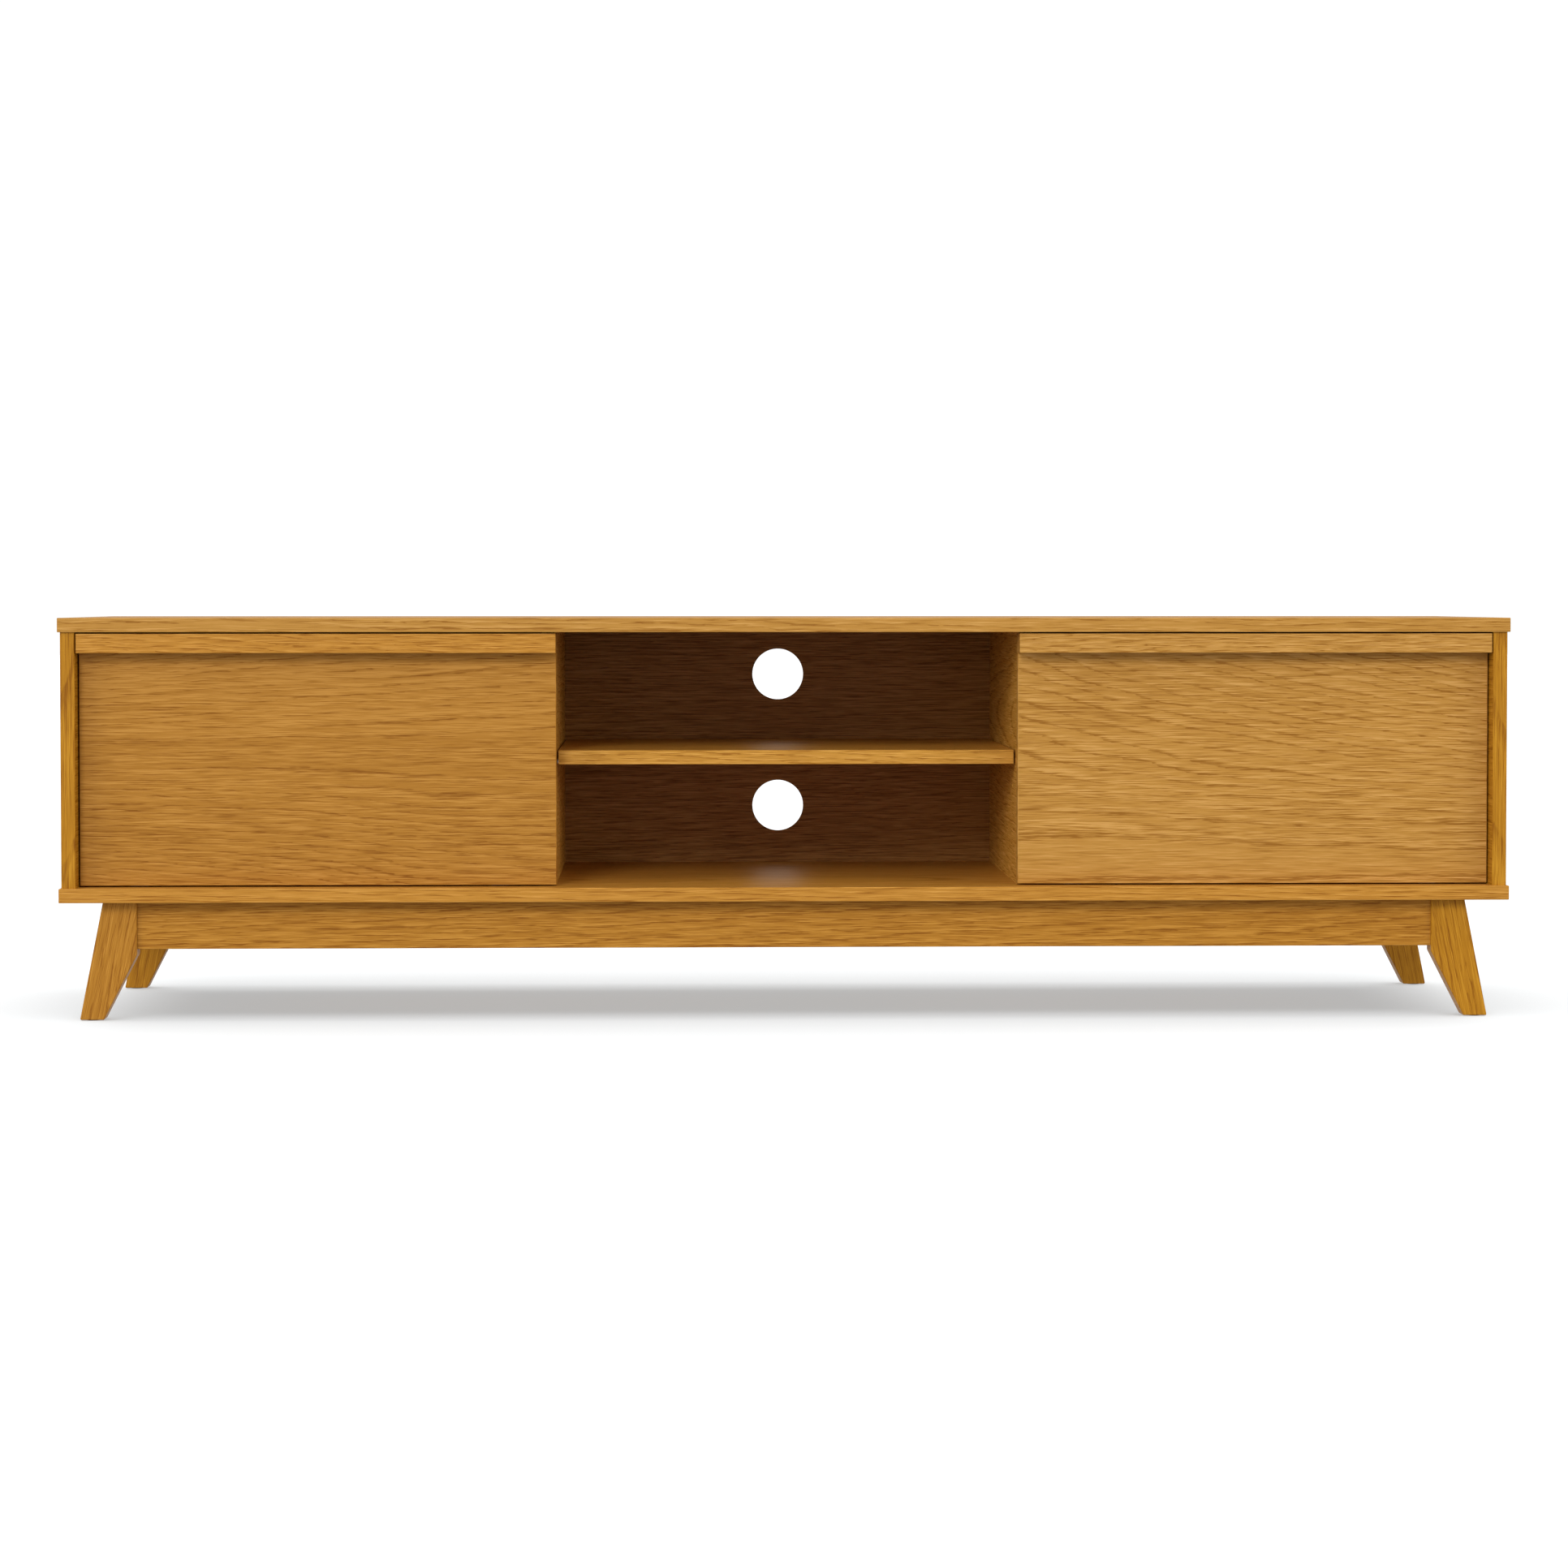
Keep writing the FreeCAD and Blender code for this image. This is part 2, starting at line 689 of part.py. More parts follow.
for side_name, side in SIDES:
    parts.append(leg(
        "front_%s_leg" % side_name, side, LEG_FRONT, FRONT_RAIL, "leg_depth", -1))
    parts.append(leg(
        "rear_%s_leg" % side_name, side, "(%s - leg_depth)" % LEG_REAR, REAR_RAIL, "0", 1))
for rail_name, rail_y, at, inwards in (
    ("front_rail", FRONT_RAIL, "board", -1),
    ("rear_rail", REAR_RAIL, "0", 1),
):
    long_rail = rail(
        rail_name, ("-leg_inner", rail_y, RAIL_BOTTOM),
        ("2 * leg_inner", "board", "rail_height"), "x",
    )
    bore(long_rail, "y", at, [("leg_inner", level) for level in RAIL_LEVELS],
         "dowel_radius", "dowel_in_board", inwards)
    parts.append(long_rail)
for side_name, side in SIDES:
    parts.append(rail(
        side_name + "_side_rail",
        (from_centre(side, SIDE_RAIL_INNER, "side_rail_outer"),
         "%s + leg_depth" % LEG_FRONT, RAIL_BOTTOM),
        ("board", "%s - %s - 2 * leg_depth" % (LEG_REAR, LEG_FRONT), "rail_height"), "y",
    ))
parts.append(rail(
    "cross_rail", ("-board / 2", "%s + board" % FRONT_RAIL, RAIL_BOTTOM),
    ("board", CROSS_LENGTH, "rail_height"), "y",
))

# Corner blocks fill the inner corners of the rails under the bottom board. A block's own
# x axis runs along the diagonal, from the corner of the rails inwards.
BLOCK_BOTTOM = "(leg_frame_height - block_height)"
NOSE = "(block_nose / sqrt(2))"
BASE = "(block_leg / sqrt(2))"
BOLT_LEVEL = "(%s + rail_height / 2)" % RAIL_BOTTOM
SCREW_ALONG = "(%s - block_screw_back)" % BASE
SCREW_ACROSS = "(%s * block_screw_spread)" % BASE
SCREW_FACE = "(%s - screw_head_proud)" % BLOCK_BOTTOM

corner_block = new_body("corner_block")
block_sketch = new_sketch(corner_block, "z")
draw_outline(block_sketch, [(NOSE, "-" + NOSE), (BASE, "-" + BASE), (BASE, BASE), (NOSE, NOSE)])
pad(corner_block, block_sketch, "z", "block_height")
bore(corner_block, "x", BASE, [("0", "%s - %s" % (BOLT_LEVEL, BLOCK_BOTTOM))],
     "leg_bolt_radius + leg_bolt_play", "%s - %s" % (BASE, NOSE), -1)
bore(corner_block, "z", "0", [(SCREW_ALONG, SCREW_ACROSS), (SCREW_ALONG, "-" + SCREW_ACROSS)],
     "screw_radius + screw_play", "block_height", 1)


def corner_places(along, across, level):
    """One place per corner block: along and across its diagonal, and a level."""
    places = []
    for side in (-1, 1):
        for end in (-1, 1):
            corner = Vector(side * number(SIDE_RAIL_INNER), end * number(REAR_RAIL), 0)
            angle = math.degrees(math.atan2(-end, -side))
            turn = Placement(corner, Rotation(Vector(0, 0, 1), angle))
            step = Vector(number(along), number(across), number(level))
            places.append(turn.multiply(Placement(step, Rotation())))
    return places


LEG_CORNER = "((side_rail_outer - board - leg_inner + leg_depth - rail_setback - board) / sqrt(2))"
leg_bolt = cylinder(
    "leg_bolt", "leg_bolt_radius", "%s - %s + leg_bolt_in_leg + leg_bolt_end" % (BASE, LEG_CORNER),
    ("%s - leg_bolt_in_leg" % LEG_CORNER, "0", "0"), (1, 0, 0),
)
leg_washer = cut(
    "leg_washer",
    cylinder("washer_disc", "washer_radius", "washer_thickness", (BASE, "0", "0"), (1, 0, 0)),
    cylinder("washer_hole", "leg_bolt_radius + leg_bolt_play", "washer_thickness",
             (BASE, "0", "0"), (1, 0, 0)),
)
nut_prism = doc.addObject("Part::Prism", "nut_prism")
nut_prism.Polygon = 6
bind(nut_prism, "Circumradius", "nut_radius")
bind(nut_prism, "Height", "nut_height")
nut_prism.Placement.Rotation = turned((1, 0, 0))
place(nut_prism, "%s + washer_thickness" % BASE)
leg_nut = cut(
    "leg_nut", nut_prism,
    cylinder("nut_hole", "leg_bolt_radius", "nut_height + washer_thickness", (BASE, "0", "0"),
             (1, 0, 0)),
)
parts.append(group("corner_blocks", (corner_block, corner_places("0", "0", BLOCK_BOTTOM))))
parts.append(group("leg_bolts", (leg_bolt, corner_places("0", "0", BOLT_LEVEL))))
parts.append(group("leg_washers", (leg_washer, corner_places("0", "0", BOLT_LEVEL))))
parts.append(group("leg_nuts", (leg_nut, corner_places("0", "0", BOLT_LEVEL))))
parts.append(group(
    "frame_screws",
    (frame_screw, corner_places(SCREW_ALONG, SCREW_ACROSS, SCREW_FACE)),
    (frame_screw, corner_places(SCREW_ALONG, "-" + SCREW_ACROSS, SCREW_FACE)),
))

glide = fuse(
    "glide",
    cylinder("glide_disc", "glide_radius", "glide_thickness"),
    cylinder("glide_pin", "glide_pin_radius", "glide_thickness + glide_pin_length"),
)
GLIDE_X = "((leg_foot_outer + leg_foot_inner) / 2)"
GLIDE_Y = "(%s - leg_depth / 2)" % LEG_REAR
parts.append(group("foot_glides", (glide, [
    spot(signed(side, GLIDE_X), signed(end, GLIDE_Y), "0") for side in (-1, 1) for end in (-1, 1)
])))

# ---------------------------------------------------------------- knock-down fittings
cam = cut(
    "cam",
    cylinder("cam_disc", "cam_radius - cam_play", "cam_depth - cam_play"),
    fuse(
        "cam_hollows",
        cylinder("cam_socket", "cam_bolt_radius + 2 * cam_play", "cam_radius + cam_socket_reach",
                 ("0", "-cam_radius", "board / 2"), (0, 1, 0)),
        box("cam_slot_a", ("-cam_slot_length / 2", "-cam_slot_width / 2", "0"),
            ("cam_slot_length", "cam_slot_width", "cam_slot_depth")),
        box("cam_slot_b", ("-cam_slot_width / 2", "-cam_slot_length / 2", "0"),
            ("cam_slot_width", "cam_slot_length", "cam_slot_depth")),
    ),
)
cam_bolt = fuse(
    "cam_bolt",
    cylinder("cam_bolt_thread", "cam_thread_radius", "cam_thread_length",
             ("0", "0", "-cam_thread_length")),
    cylinder("cam_bolt_stem", "cam_stem_radius", "cam_from_end"),
    cylinder("cam_bolt_head", "cam_bolt_radius - 2 * cam_play", "cam_bolt_head_length",
             ("0", "0", "cam_from_end - cam_bolt_head_length / 2")),
)
dowel = cylinder("dowel", "dowel_radius", "2 * dowel_half")

cam_spots, bolt_spots, dowel_spots = [], [], []
for side in (-1, 1):
    for middle, cam_face, facing in (
        ("(%s - board / 2)" % SIDE_OUTER, SIDE_INNER, side),
        (DIVIDER_MIDDLE, DIVIDER_OUTER, -side),
    ):
        for end_level, upwards in ((BOARD_TOP, 1), (TOP_UNDER, -1)):
            for row in FITTING_ROWS:
                row_y = number("%s - %s" % (row, HALF_DEPTH))
                bolt_spots.append(spot(signed(side, middle), row_y, end_level, (0, 0, upwards)))
                level = number("%s + %d * cam_from_end" % (end_level, upwards))
                turn = Rotation(
                    Vector(0, facing * upwards, 0), Vector(0, 0, upwards), Vector(facing, 0, 0),
                    "ZYX",
                )
                where = Vector(side * number(cam_face), row_y, level)
                cam_spots.append(Placement(where, turn))
            for row in FITTING_DOWELS:
                row_y = number("%s - %s" % (row, HALF_DEPTH))
                foot = "%s - %d * dowel_in_board" % (end_level, upwards)
                dowel_spots.append(spot(signed(side, middle), row_y, foot, (0, 0, upwards)))
for level in RAIL_LEVELS:
    rail_level = number("%s + %s" % (RAIL_BOTTOM, level))
    for side in (-1, 1):
        leg_end = "leg_inner + dowel_in_board"
        side_middle = number("side_rail_outer - board / 2") * side
        for end in (-1, 1):
            rail_middle = number("%s + board / 2" % REAR_RAIL) * end
            leg_face = number("%s - leg_depth + dowel_in_board" % LEG_REAR) * end
            rail_face = number("%s + dowel_in_board" % REAR_RAIL) * end
            dowel_spots.append(spot(signed(side, leg_end), rail_middle, rail_level, (-side, 0, 0)))
            dowel_spots.append(spot(side_middle, leg_face, rail_level, (0, -end, 0)))
            if side > 0:
                dowel_spots.append(spot("0", rail_face, rail_level, (0, -end, 0)))
parts.append(group("cams", (cam, cam_spots)))
parts.append(group("cam_bolts", (cam_bolt, bolt_spots)))
parts.append(group("dowels", (dowel, dowel_spots)))

BACK_SCREW_EDGE = "rebate / 2"
BACK_SCREW_FACE = "(%s + screw_head_proud)" % BACK_REAR
DIVIDER_SCREWS = [
    signed(side, "(%s %s back_screw_beside)" % (DIVIDER_MIDDLE, shift))
    for side in (-1, 1) for shift in "-+"
]
back_screws = []
for low, high in (
    ("-" + BACK_OUTER, "-" + DIVIDER_MIDDLE),
    ("-" + DIVIDER_MIDDLE, DIVIDER_MIDDLE),
    (DIVIDER_MIDDLE, BACK_OUTER),
):
    for fraction in (0.1, 0.37, 0.63, 0.9):
        x = "(%s) + %s * ((%s) - (%s))" % (low, fraction, high, low)
        for z in (BACK_BOTTOM + " + " + BACK_SCREW_EDGE,
                  BACK_BOTTOM + " + " + BACK_HEIGHT + " - " + BACK_SCREW_EDGE):
            back_screws.append(spot(x, BACK_SCREW_FACE, z, (0, -1, 0)))
OUTER_SCREWS = [signed(side, BACK_OUTER + " - " + BACK_SCREW_EDGE) for side in (-1, 1)]
for x in OUTER_SCREWS + DIVIDER_SCREWS:
    for fraction in (0.3, 0.7):
        z = "%s + %s * %s" % (BACK_BOTTOM, fraction, BACK_HEIGHT)
        back_screws.append(spot(x, BACK_SCREW_FACE, z, (0, -1, 0)))
parts.append(group("back_screws", (back_screw, back_screws)))

# ---------------------------------------------------------------- doors and pulls
DOOR_WIDTH = "(%s - %s)" % (DOOR_OUTER, DOOR_INNER)
DOOR_HEIGHT = "(%s - %s)" % (DOOR_TOP, DOOR_BOTTOM)
DOOR_MIDDLE = "((%s + %s) / 2)" % (DOOR_OUTER, DOOR_INNER)
HINGES_X = (DOOR_INNER + " + hinge_from_end", DOOR_OUTER + " - hinge_from_end")
PULL_SCREWS = (0.08, 0.36, 0.64, 0.92)


def door(side_name, side):
    """Flap of one closed compartment, pocketed from behind for the hinge housings."""
    body = panel(
        side_name + "_door", (from_centre(side, DOOR_INNER, DOOR_OUTER), DOOR_FACE, DOOR_BOTTOM),
        (DOOR_WIDTH, "board", DOOR_HEIGHT), eased="xyz",
    )
    for middle in ("hinge_from_end", DOOR_WIDTH + " - hinge_from_end"):
        low = (middle + " - housing_width / 2", "-1")
        high = (middle + " + housing_width / 2", "housing_height")
        cut_box(body, "y", "board", low, high, "board - housing_skin", -1)
    return body


def pull(side_name, side):
    """Square strip along the top of a flap, with a finger groove in its underside."""
    body = panel(
        side_name + "_pull",
        (from_centre(side, DOOR_INNER, DOOR_OUTER), "%s - pull_projection" % DOOR_FACE,
         "%s - pull_height" % DOOR_TOP),
        (DOOR_WIDTH, "pull_projection", "pull_height"), eased="xyz",
    )
    low = ("groove_end", "groove_from_front")
    high = (DOOR_WIDTH + " - groove_end", "groove_from_front + groove_width")
    groove = cut_box(body, "z", "0", low, high, "groove_depth", 1)
    ceiling = number("groove_depth")
    ease(body, groove, "groove_width / 3", lambda edge: (
        runs_along(edge, "x") and abs(edge.Vertexes[0].Z - ceiling) < 0.01))
    return body


for side_name, side in SIDES:
    parts.append(door(side_name, side))
    parts.append(pull(side_name, side))
    parts.append(group(side_name + "_pull_screws", (pull_screw, [
        spot("%s + %s * %s" % (from_centre(side, DOOR_INNER, DOOR_OUTER), share, DOOR_WIDTH),
             DOOR_BACK + " + screw_head_proud", DOOR_TOP + " - pull_height / 3", (0, -1, 0))
        for share in PULL_SCREWS
    ])))

# ---------------------------------------------------------------- flap hinges
# Each hinge is drawn about its own pivot: an arm on the bottom board reaches forwards into
# the door's foot, where a pin through a housing lets the door turn about its lower front edge.
BELOW_PIVOT = "(door_gap + hinge_rise)"
BEHIND_PIVOT = "(board - hinge_inset)"
FLANGE_SCREW = "(flange_width / 2 - flange_screw_inset)"
FLANGE_LOW = "(housing_height - hinge_rise - flange_height)"

arm_solid = fuse(
    "arm_solid",
    cylinder("arm_eye", "hinge_eye_radius", "arm_thickness", ("-arm_thickness / 2", "0", "0"),
             (1, 0, 0)),
    box("arm_bar", ("-arm_thickness / 2", "0", "-arm_half_height"),
        ("arm_thickness", "arm_reach + arm_thickness", "2 * arm_half_height")),
    box("arm_web", ("-arm_thickness / 2", "arm_reach", "-" + BELOW_PIVOT),
        ("arm_thickness", "arm_thickness", BELOW_PIVOT)),
    box("arm_plate", ("-arm_plate_width / 2", "arm_reach", "-" + BELOW_PIVOT),
        ("arm_plate_width", "arm_plate_length", "plate")),
)
ARM_SCREWS = (
    ("-arm_screw_side", "arm_reach + arm_screw_near"),
    ("arm_screw_side", "arm_reach + arm_screw_near"),
    ("0", "arm_reach + arm_screw_far"),
)


def arm_screw_spots():
    return [spot(x, y, "plate - %s" % BELOW_PIVOT, (0, 0, -1)) for x, y in ARM_SCREWS]


arm_holes = group("arm_holes", (screw_clearance, arm_screw_spots()))
arm_bore = cylinder("arm_bore", "hinge_pin_radius + hinge_play", "arm_thickness",
                    ("-arm_thickness / 2", "0", "0"), (1, 0, 0))
hinge_arm = cut("hinge_arm", cut("arm_drilled", arm_solid, arm_holes), arm_bore)

housing_solid = fuse(
    "housing_solid",
    box("housing_block",
        ("housing_play - housing_width / 2", "housing_skin + housing_play - hinge_inset",
         "housing_foot - hinge_rise"),
        ("housing_width - 2 * housing_play", "board - housing_skin - housing_play",
         "housing_height - housing_foot - housing_play")),
    box("housing_flange", ("-flange_width / 2", BEHIND_PIVOT, FLANGE_LOW),
        ("flange_width", "plate", "flange_height")),
)
housing_tools = fuse(
    "housing_tools",
    box("housing_slot", ("-housing_slot / 2", "-hinge_inset", "-hinge_rise"),
        ("housing_slot", "board + plate", "hinge_rise + hinge_eye_radius + 0.5")),
    cylinder("housing_bore", "hinge_pin_radius", "housing_width",
             ("-housing_width / 2", "0", "0"), (1, 0, 0)),
)


def flange_screw_spots():
    return [spot(signed(end, FLANGE_SCREW), BEHIND_PIVOT + " + plate",
                 FLANGE_LOW + " + flange_height / 2", (0, -1, 0)) for end in (-1, 1)]


flange_holes = group("flange_holes", (screw_clearance, flange_screw_spots()))
hinge_housing = cut("hinge_housing", cut("housing_drilled", housing_solid, flange_holes),
                    housing_tools)
hinge_pin = cylinder("hinge_pin", "hinge_pin_radius", "housing_width - 1",
                     ("0.5 - housing_width / 2", "0", "0"), (1, 0, 0))


def hinge_spots(side):
    return [spot(signed(side, x), PIVOT_Y, PIVOT_Z) for x in HINGES_X]


parts.append(group("hinge_arms", (hinge_arm, hinge_spots(-1) + hinge_spots(1))))
for side_name, side in SIDES:
    parts.append(group(side_name + "_hinge_housings", (hinge_housing, hinge_spots(side))))
    parts.append(group(side_name + "_hinge_pins", (hinge_pin, hinge_spots(side))))

# ---------------------------------------------------------------- flap stays
# The wall pivot, the door pivot and the flap's own pivot form an isosceles triangle, so the
# stay turns by half the flap's angle and its rod slides straight out of its tube.
door_arm = number("%s + stay_behind_door - %s" % (DOOR_BACK, PIVOT_Y))
door_lift = math.sqrt(number("stay_radius") ** 2 - door_arm ** 2)
wall_angle = math.atan2(door_lift, door_arm) - math.radians(number("stay_apex"))
wall_pivot = (
    number(PIVOT_Y) + number("stay_radius") * math.cos(wall_angle),
    number(PIVOT_Z) + number("stay_radius") * math.sin(wall_angle),
)
door_pivot = (number(PIVOT_Y) + door_arm, number(PIVOT_Z) + door_lift)
tube_direction = (door_pivot[0] - wall_pivot[0], door_pivot[1] - wall_pivot[1])
EYE_FIT = "stay_pin_radius + hinge_play"
BOSS = "(stay_from_side - eye_thickness / 2 - stay_side_play)"
PIN_END = "(stay_from_side + eye_thickness / 2 + stay_side_play)"


def eye_blank(label):
    return cylinder(label, "eye_radius", "eye_thickness", ("-eye_thickness / 2", "0", "0"),
                    (1, 0, 0))


def eye_hole(label):
    return cylinder(label, EYE_FIT, "2 * eye_thickness", ("-eye_thickness", "0", "0"), (1, 0, 0))


stay_tube = cut(
    "stay_tube",
    fuse(
        "tube_solid", eye_blank("tube_eye"),
        box("tube_neck", ("-eye_thickness / 2", "-eye_radius * 0.8", "0"),
            ("eye_thickness", "eye_radius * 1.6", "eye_neck + plate")),
        cylinder("tube_barrel", "tube_radius", "tube_length - eye_neck", ("0", "0", "eye_neck")),
    ),
    fuse("tube_hollows", eye_hole("tube_pin_hole"),
         cylinder("tube_inside", "tube_bore", "tube_length", ("0", "0", "eye_neck + plate + 0.5"))),
)
stay_rod = cut(
    "stay_rod",
    fuse("rod_solid", eye_blank("rod_eye"),
         cylinder("rod_shaft", "rod_radius", "rod_length - rod_radius", ("0", "0", "rod_radius"))),
    eye_hole("rod_pin_hole"),
)
wall_bracket_solid = fuse(
    "wall_bracket_solid",
    box("wall_plate", ("-wall_plate_size / 2", "-wall_plate_size / 2", "0"),
        ("wall_plate_size", "wall_plate_size", "plate")),
    cylinder("wall_boss", "stay_pin_head", BOSS),
    cylinder("wall_pin", "stay_pin_radius", PIN_END),
    cylinder("wall_pin_head", "stay_pin_head", "stay_pin_head_length", ("0", "0", PIN_END)),
)
WALL_SCREW = "(wall_plate_size / 2 - wall_screw_edge)"
WALL_SCREWS = [(signed(a, WALL_SCREW), signed(b, WALL_SCREW)) for a in (-1, 1) for b in (-1, 1)]


def wall_screw_spots():
    return [spot(x, y, "plate", (0, 0, -1)) for x, y in WALL_SCREWS]


wall_holes = group("wall_holes", (screw_clearance, wall_screw_spots()))
wall_bracket = cut("wall_bracket", wall_bracket_solid, wall_holes)

# Door bracket: its own z axis points from the stay's middle towards the cabinet's middle.
CHEEK = "(rod_radius + stay_side_play)"
door_bracket_solid = fuse(
    "door_bracket_solid",
    box("bracket_base", ("-stay_behind_door", "-bracket_width / 2", CHEEK),
        ("plate", "bracket_width", "bracket_length")),
    box("bracket_cheek", ("-stay_behind_door", "-bracket_cheek_width / 2", CHEEK),
        ("stay_behind_door + eye_radius", "bracket_cheek_width", "bracket_cheek_thickness")),
    cylinder("bracket_pin", "stay_pin_radius", "2 * %s" % CHEEK, ("0", "0", "-" + CHEEK)),
    cylinder("bracket_pin_head", "stay_pin_head", "stay_pin_head_length",
             ("0", "0", "-%s - stay_pin_head_length" % CHEEK)),
)


def bracket_screw_spots():
    along = "%s + bracket_screw_along" % CHEEK
    return [spot("plate - stay_behind_door", signed(end, "bracket_screw_side"), along, (-1, 0, 0))
            for end in (-1, 1)]


bracket_holes = group("bracket_holes", (screw_clearance, bracket_screw_spots()))
door_bracket = cut("door_bracket", door_bracket_solid, bracket_holes)


def wall_place(side):
    where = Vector(side * number(SIDE_INNER), *wall_pivot)
    return Placement(where, turned((-side, 0, 0)))


def bracket_place(side):
    """Local x runs back into the cabinet and local z towards its middle."""
    turn = Rotation(Vector(0, 1, 0), Vector(0, 0, -side), Vector(-side, 0, 0), "ZXY")
    return Placement(Vector(side * number(STAY_X), *door_pivot), turn)


def stay_place(side, pivot, direction):
    """Local z runs along the stay and local x along its pivot pins."""
    angle = math.degrees(math.atan2(-direction[0], direction[1]))
    where = Vector(side * number(STAY_X), *pivot)
    return Placement(where, Rotation(Vector(1, 0, 0), angle))


rod_direction = (-tube_direction[0], -tube_direction[1])
parts.append(group("stay_wall_brackets", (wall_bracket, [wall_place(-1), wall_place(1)])))
for side_name, side in SIDES:
    parts.append(group(side_name + "_stay_tube", (
        stay_tube, [stay_place(side, wall_pivot, tube_direction)])))
    parts.append(group(side_name + "_stay_rod", (
        stay_rod, [stay_place(side, door_pivot, rod_direction)])))
    parts.append(group(side_name + "_stay_door_bracket", (door_bracket, [bracket_place(side)])))

# ---------------------------------------------------------------- catches and bumpers
CATCH_FRONT = "(%s + strike_thickness + catch_air)" % DOOR_BACK
STRIKE_LOW = "(%s - catch_height)" % TOP_UNDER
catch_solid = fuse(
    "catch_solid",
    box("catch_case", ("-catch_width / 2", "0", "-catch_height"),
        ("catch_width", "catch_depth", "catch_height")),
    box("catch_ears", ("-catch_width / 2 - catch_ear", "(catch_depth - catch_ear_width) / 2",
                       "-catch_ear_thickness"),
        ("catch_width + 2 * catch_ear", "catch_ear_width", "catch_ear_thickness")),
)


def catch_screw_spots():
    return [spot(signed(end, "catch_width / 2 + catch_ear / 2"), "catch_depth / 2",
                 "-catch_ear_thickness") for end in (-1, 1)]


def catch_spot(side):
    return spot(signed(side, DOOR_MIDDLE), CATCH_FRONT, TOP_UNDER)


catch_holes = group("catch_holes", (screw_clearance, catch_screw_spots()))
magnetic_catch = cut("magnetic_catch", catch_solid, catch_holes)
parts.append(group("magnetic_catches", (magnetic_catch, [catch_spot(-1), catch_spot(1)])))

strike_solid = box("strike_solid", ("-strike_width / 2", "0", "-strike_height / 2"),
                   ("strike_width", "strike_thickness", "strike_height"))
STRIKE_SCREW = "strike_width / 2 - strike_screw_inset"


def strike_screw_spots():
    return [spot(signed(end, STRIKE_SCREW), "strike_thickness", "0", (0, -1, 0))
            for end in (-1, 1)]


def strike_spot(side):
    level = "%s + strike_height / 2 - strike_overlap" % STRIKE_LOW
    return spot(signed(side, DOOR_MIDDLE), DOOR_BACK, level)


strike_holes = group("strike_holes", (screw_clearance, strike_screw_spots()))
strike_plate = cut("strike_plate", strike_solid, strike_holes)
for side_name, side in SIDES:
    parts.append(group(side_name + "_strike_plate", (strike_plate, [strike_spot(side)])))
bumper = cylinder("bumper", "bumper_radius", "bumper_thickness")
parts.append(group("door_bumpers", (bumper, [
    spot(signed(side, DIVIDER_MIDDLE), DIVIDER_FRONT, level, (0, -1, 0))
    for side in (-1, 1)
    for level in (BOARD_TOP + " + bumper_from_board", TOP_UNDER + " - bumper_from_board")
])))

# ---------------------------------------------------------------- hardware screws
def in_fitting(outer, inner_places):
    """Places of the screws in a fitting, raised a little so that their heads show."""
    lift = Placement(Vector(0, 0, -number("screw_head_proud")), Rotation())
    return [outer.multiply(inner).multiply(lift) for inner in inner_places]


cabinet_screws = []
for side in (-1, 1):
    for hinge in hinge_spots(side):
        cabinet_screws += in_fitting(hinge, arm_screw_spots())
    cabinet_screws += in_fitting(wall_place(side), wall_screw_spots())
    cabinet_screws += in_fitting(catch_spot(side), catch_screw_spots())
parts.append(group("cabinet_screws", (hardware_screw, cabinet_screws)))
for side_name, side in SIDES:
    door_screws = []
    for hinge in hinge_spots(side):
        door_screws += in_fitting(hinge, flange_screw_spots())
    door_screws += in_fitting(bracket_place(side), bracket_screw_spots())
    door_screws += in_fitting(strike_spot(side), strike_screw_spots())
    parts.append(group(side_name + "_door_screws", (hardware_screw, door_screws)))

# ---------------------------------------------------------------- checks and export
doc.recompute()
for item in doc.Objects:
    if "Invalid" in item.State or "Error" in item.State:
        raise RuntimeError("%s failed: %s" % (item.Label, item.State))
labels = [part.Label for part in parts]
if len(set(labels)) != len(labels) or len(labels) > 60:
    raise RuntimeError("the sub-parts' names clash, or there are too many")
os.makedirs("parts", exist_ok=True)
for part in parts:
    if part.Shape.isNull() or not part.Shape.isValid():
        raise RuntimeError("%s has no valid shape" % part.Label)
    part.Shape.exportStep("parts/%s.step" % part.Label)
    print("%-26s %4d solid(s) %12.0f mm3" % (
        part.Label, len(part.Shape.Solids), part.Shape.Volume))
print("%d sub-parts; flap pivot y %.2f z %.2f, stay pivots wall %s door %s" % (
    len(parts), number(PIVOT_Y), number(PIVOT_Z), wall_pivot, door_pivot))
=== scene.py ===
"""Looks of the oak media cabinet: procedural wood, metal, plastic, studio light and camera.

Metres and radians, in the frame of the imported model: +Z up, front towards -Y.
"""
import json
import math

import bpy
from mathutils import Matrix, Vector


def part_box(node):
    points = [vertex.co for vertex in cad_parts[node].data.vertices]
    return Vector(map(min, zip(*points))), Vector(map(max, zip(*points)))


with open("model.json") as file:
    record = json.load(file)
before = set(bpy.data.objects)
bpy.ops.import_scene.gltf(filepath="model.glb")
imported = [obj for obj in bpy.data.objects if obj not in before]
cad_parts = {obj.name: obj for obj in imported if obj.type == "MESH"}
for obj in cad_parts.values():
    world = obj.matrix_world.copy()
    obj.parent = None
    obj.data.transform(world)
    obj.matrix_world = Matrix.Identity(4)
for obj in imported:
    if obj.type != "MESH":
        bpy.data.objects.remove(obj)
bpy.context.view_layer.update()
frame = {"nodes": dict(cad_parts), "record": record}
scene = bpy.context.scene

MM = 0.001
QUARTER_TURN = math.pi / 2
WHITE = (1.0, 1.0, 1.0)


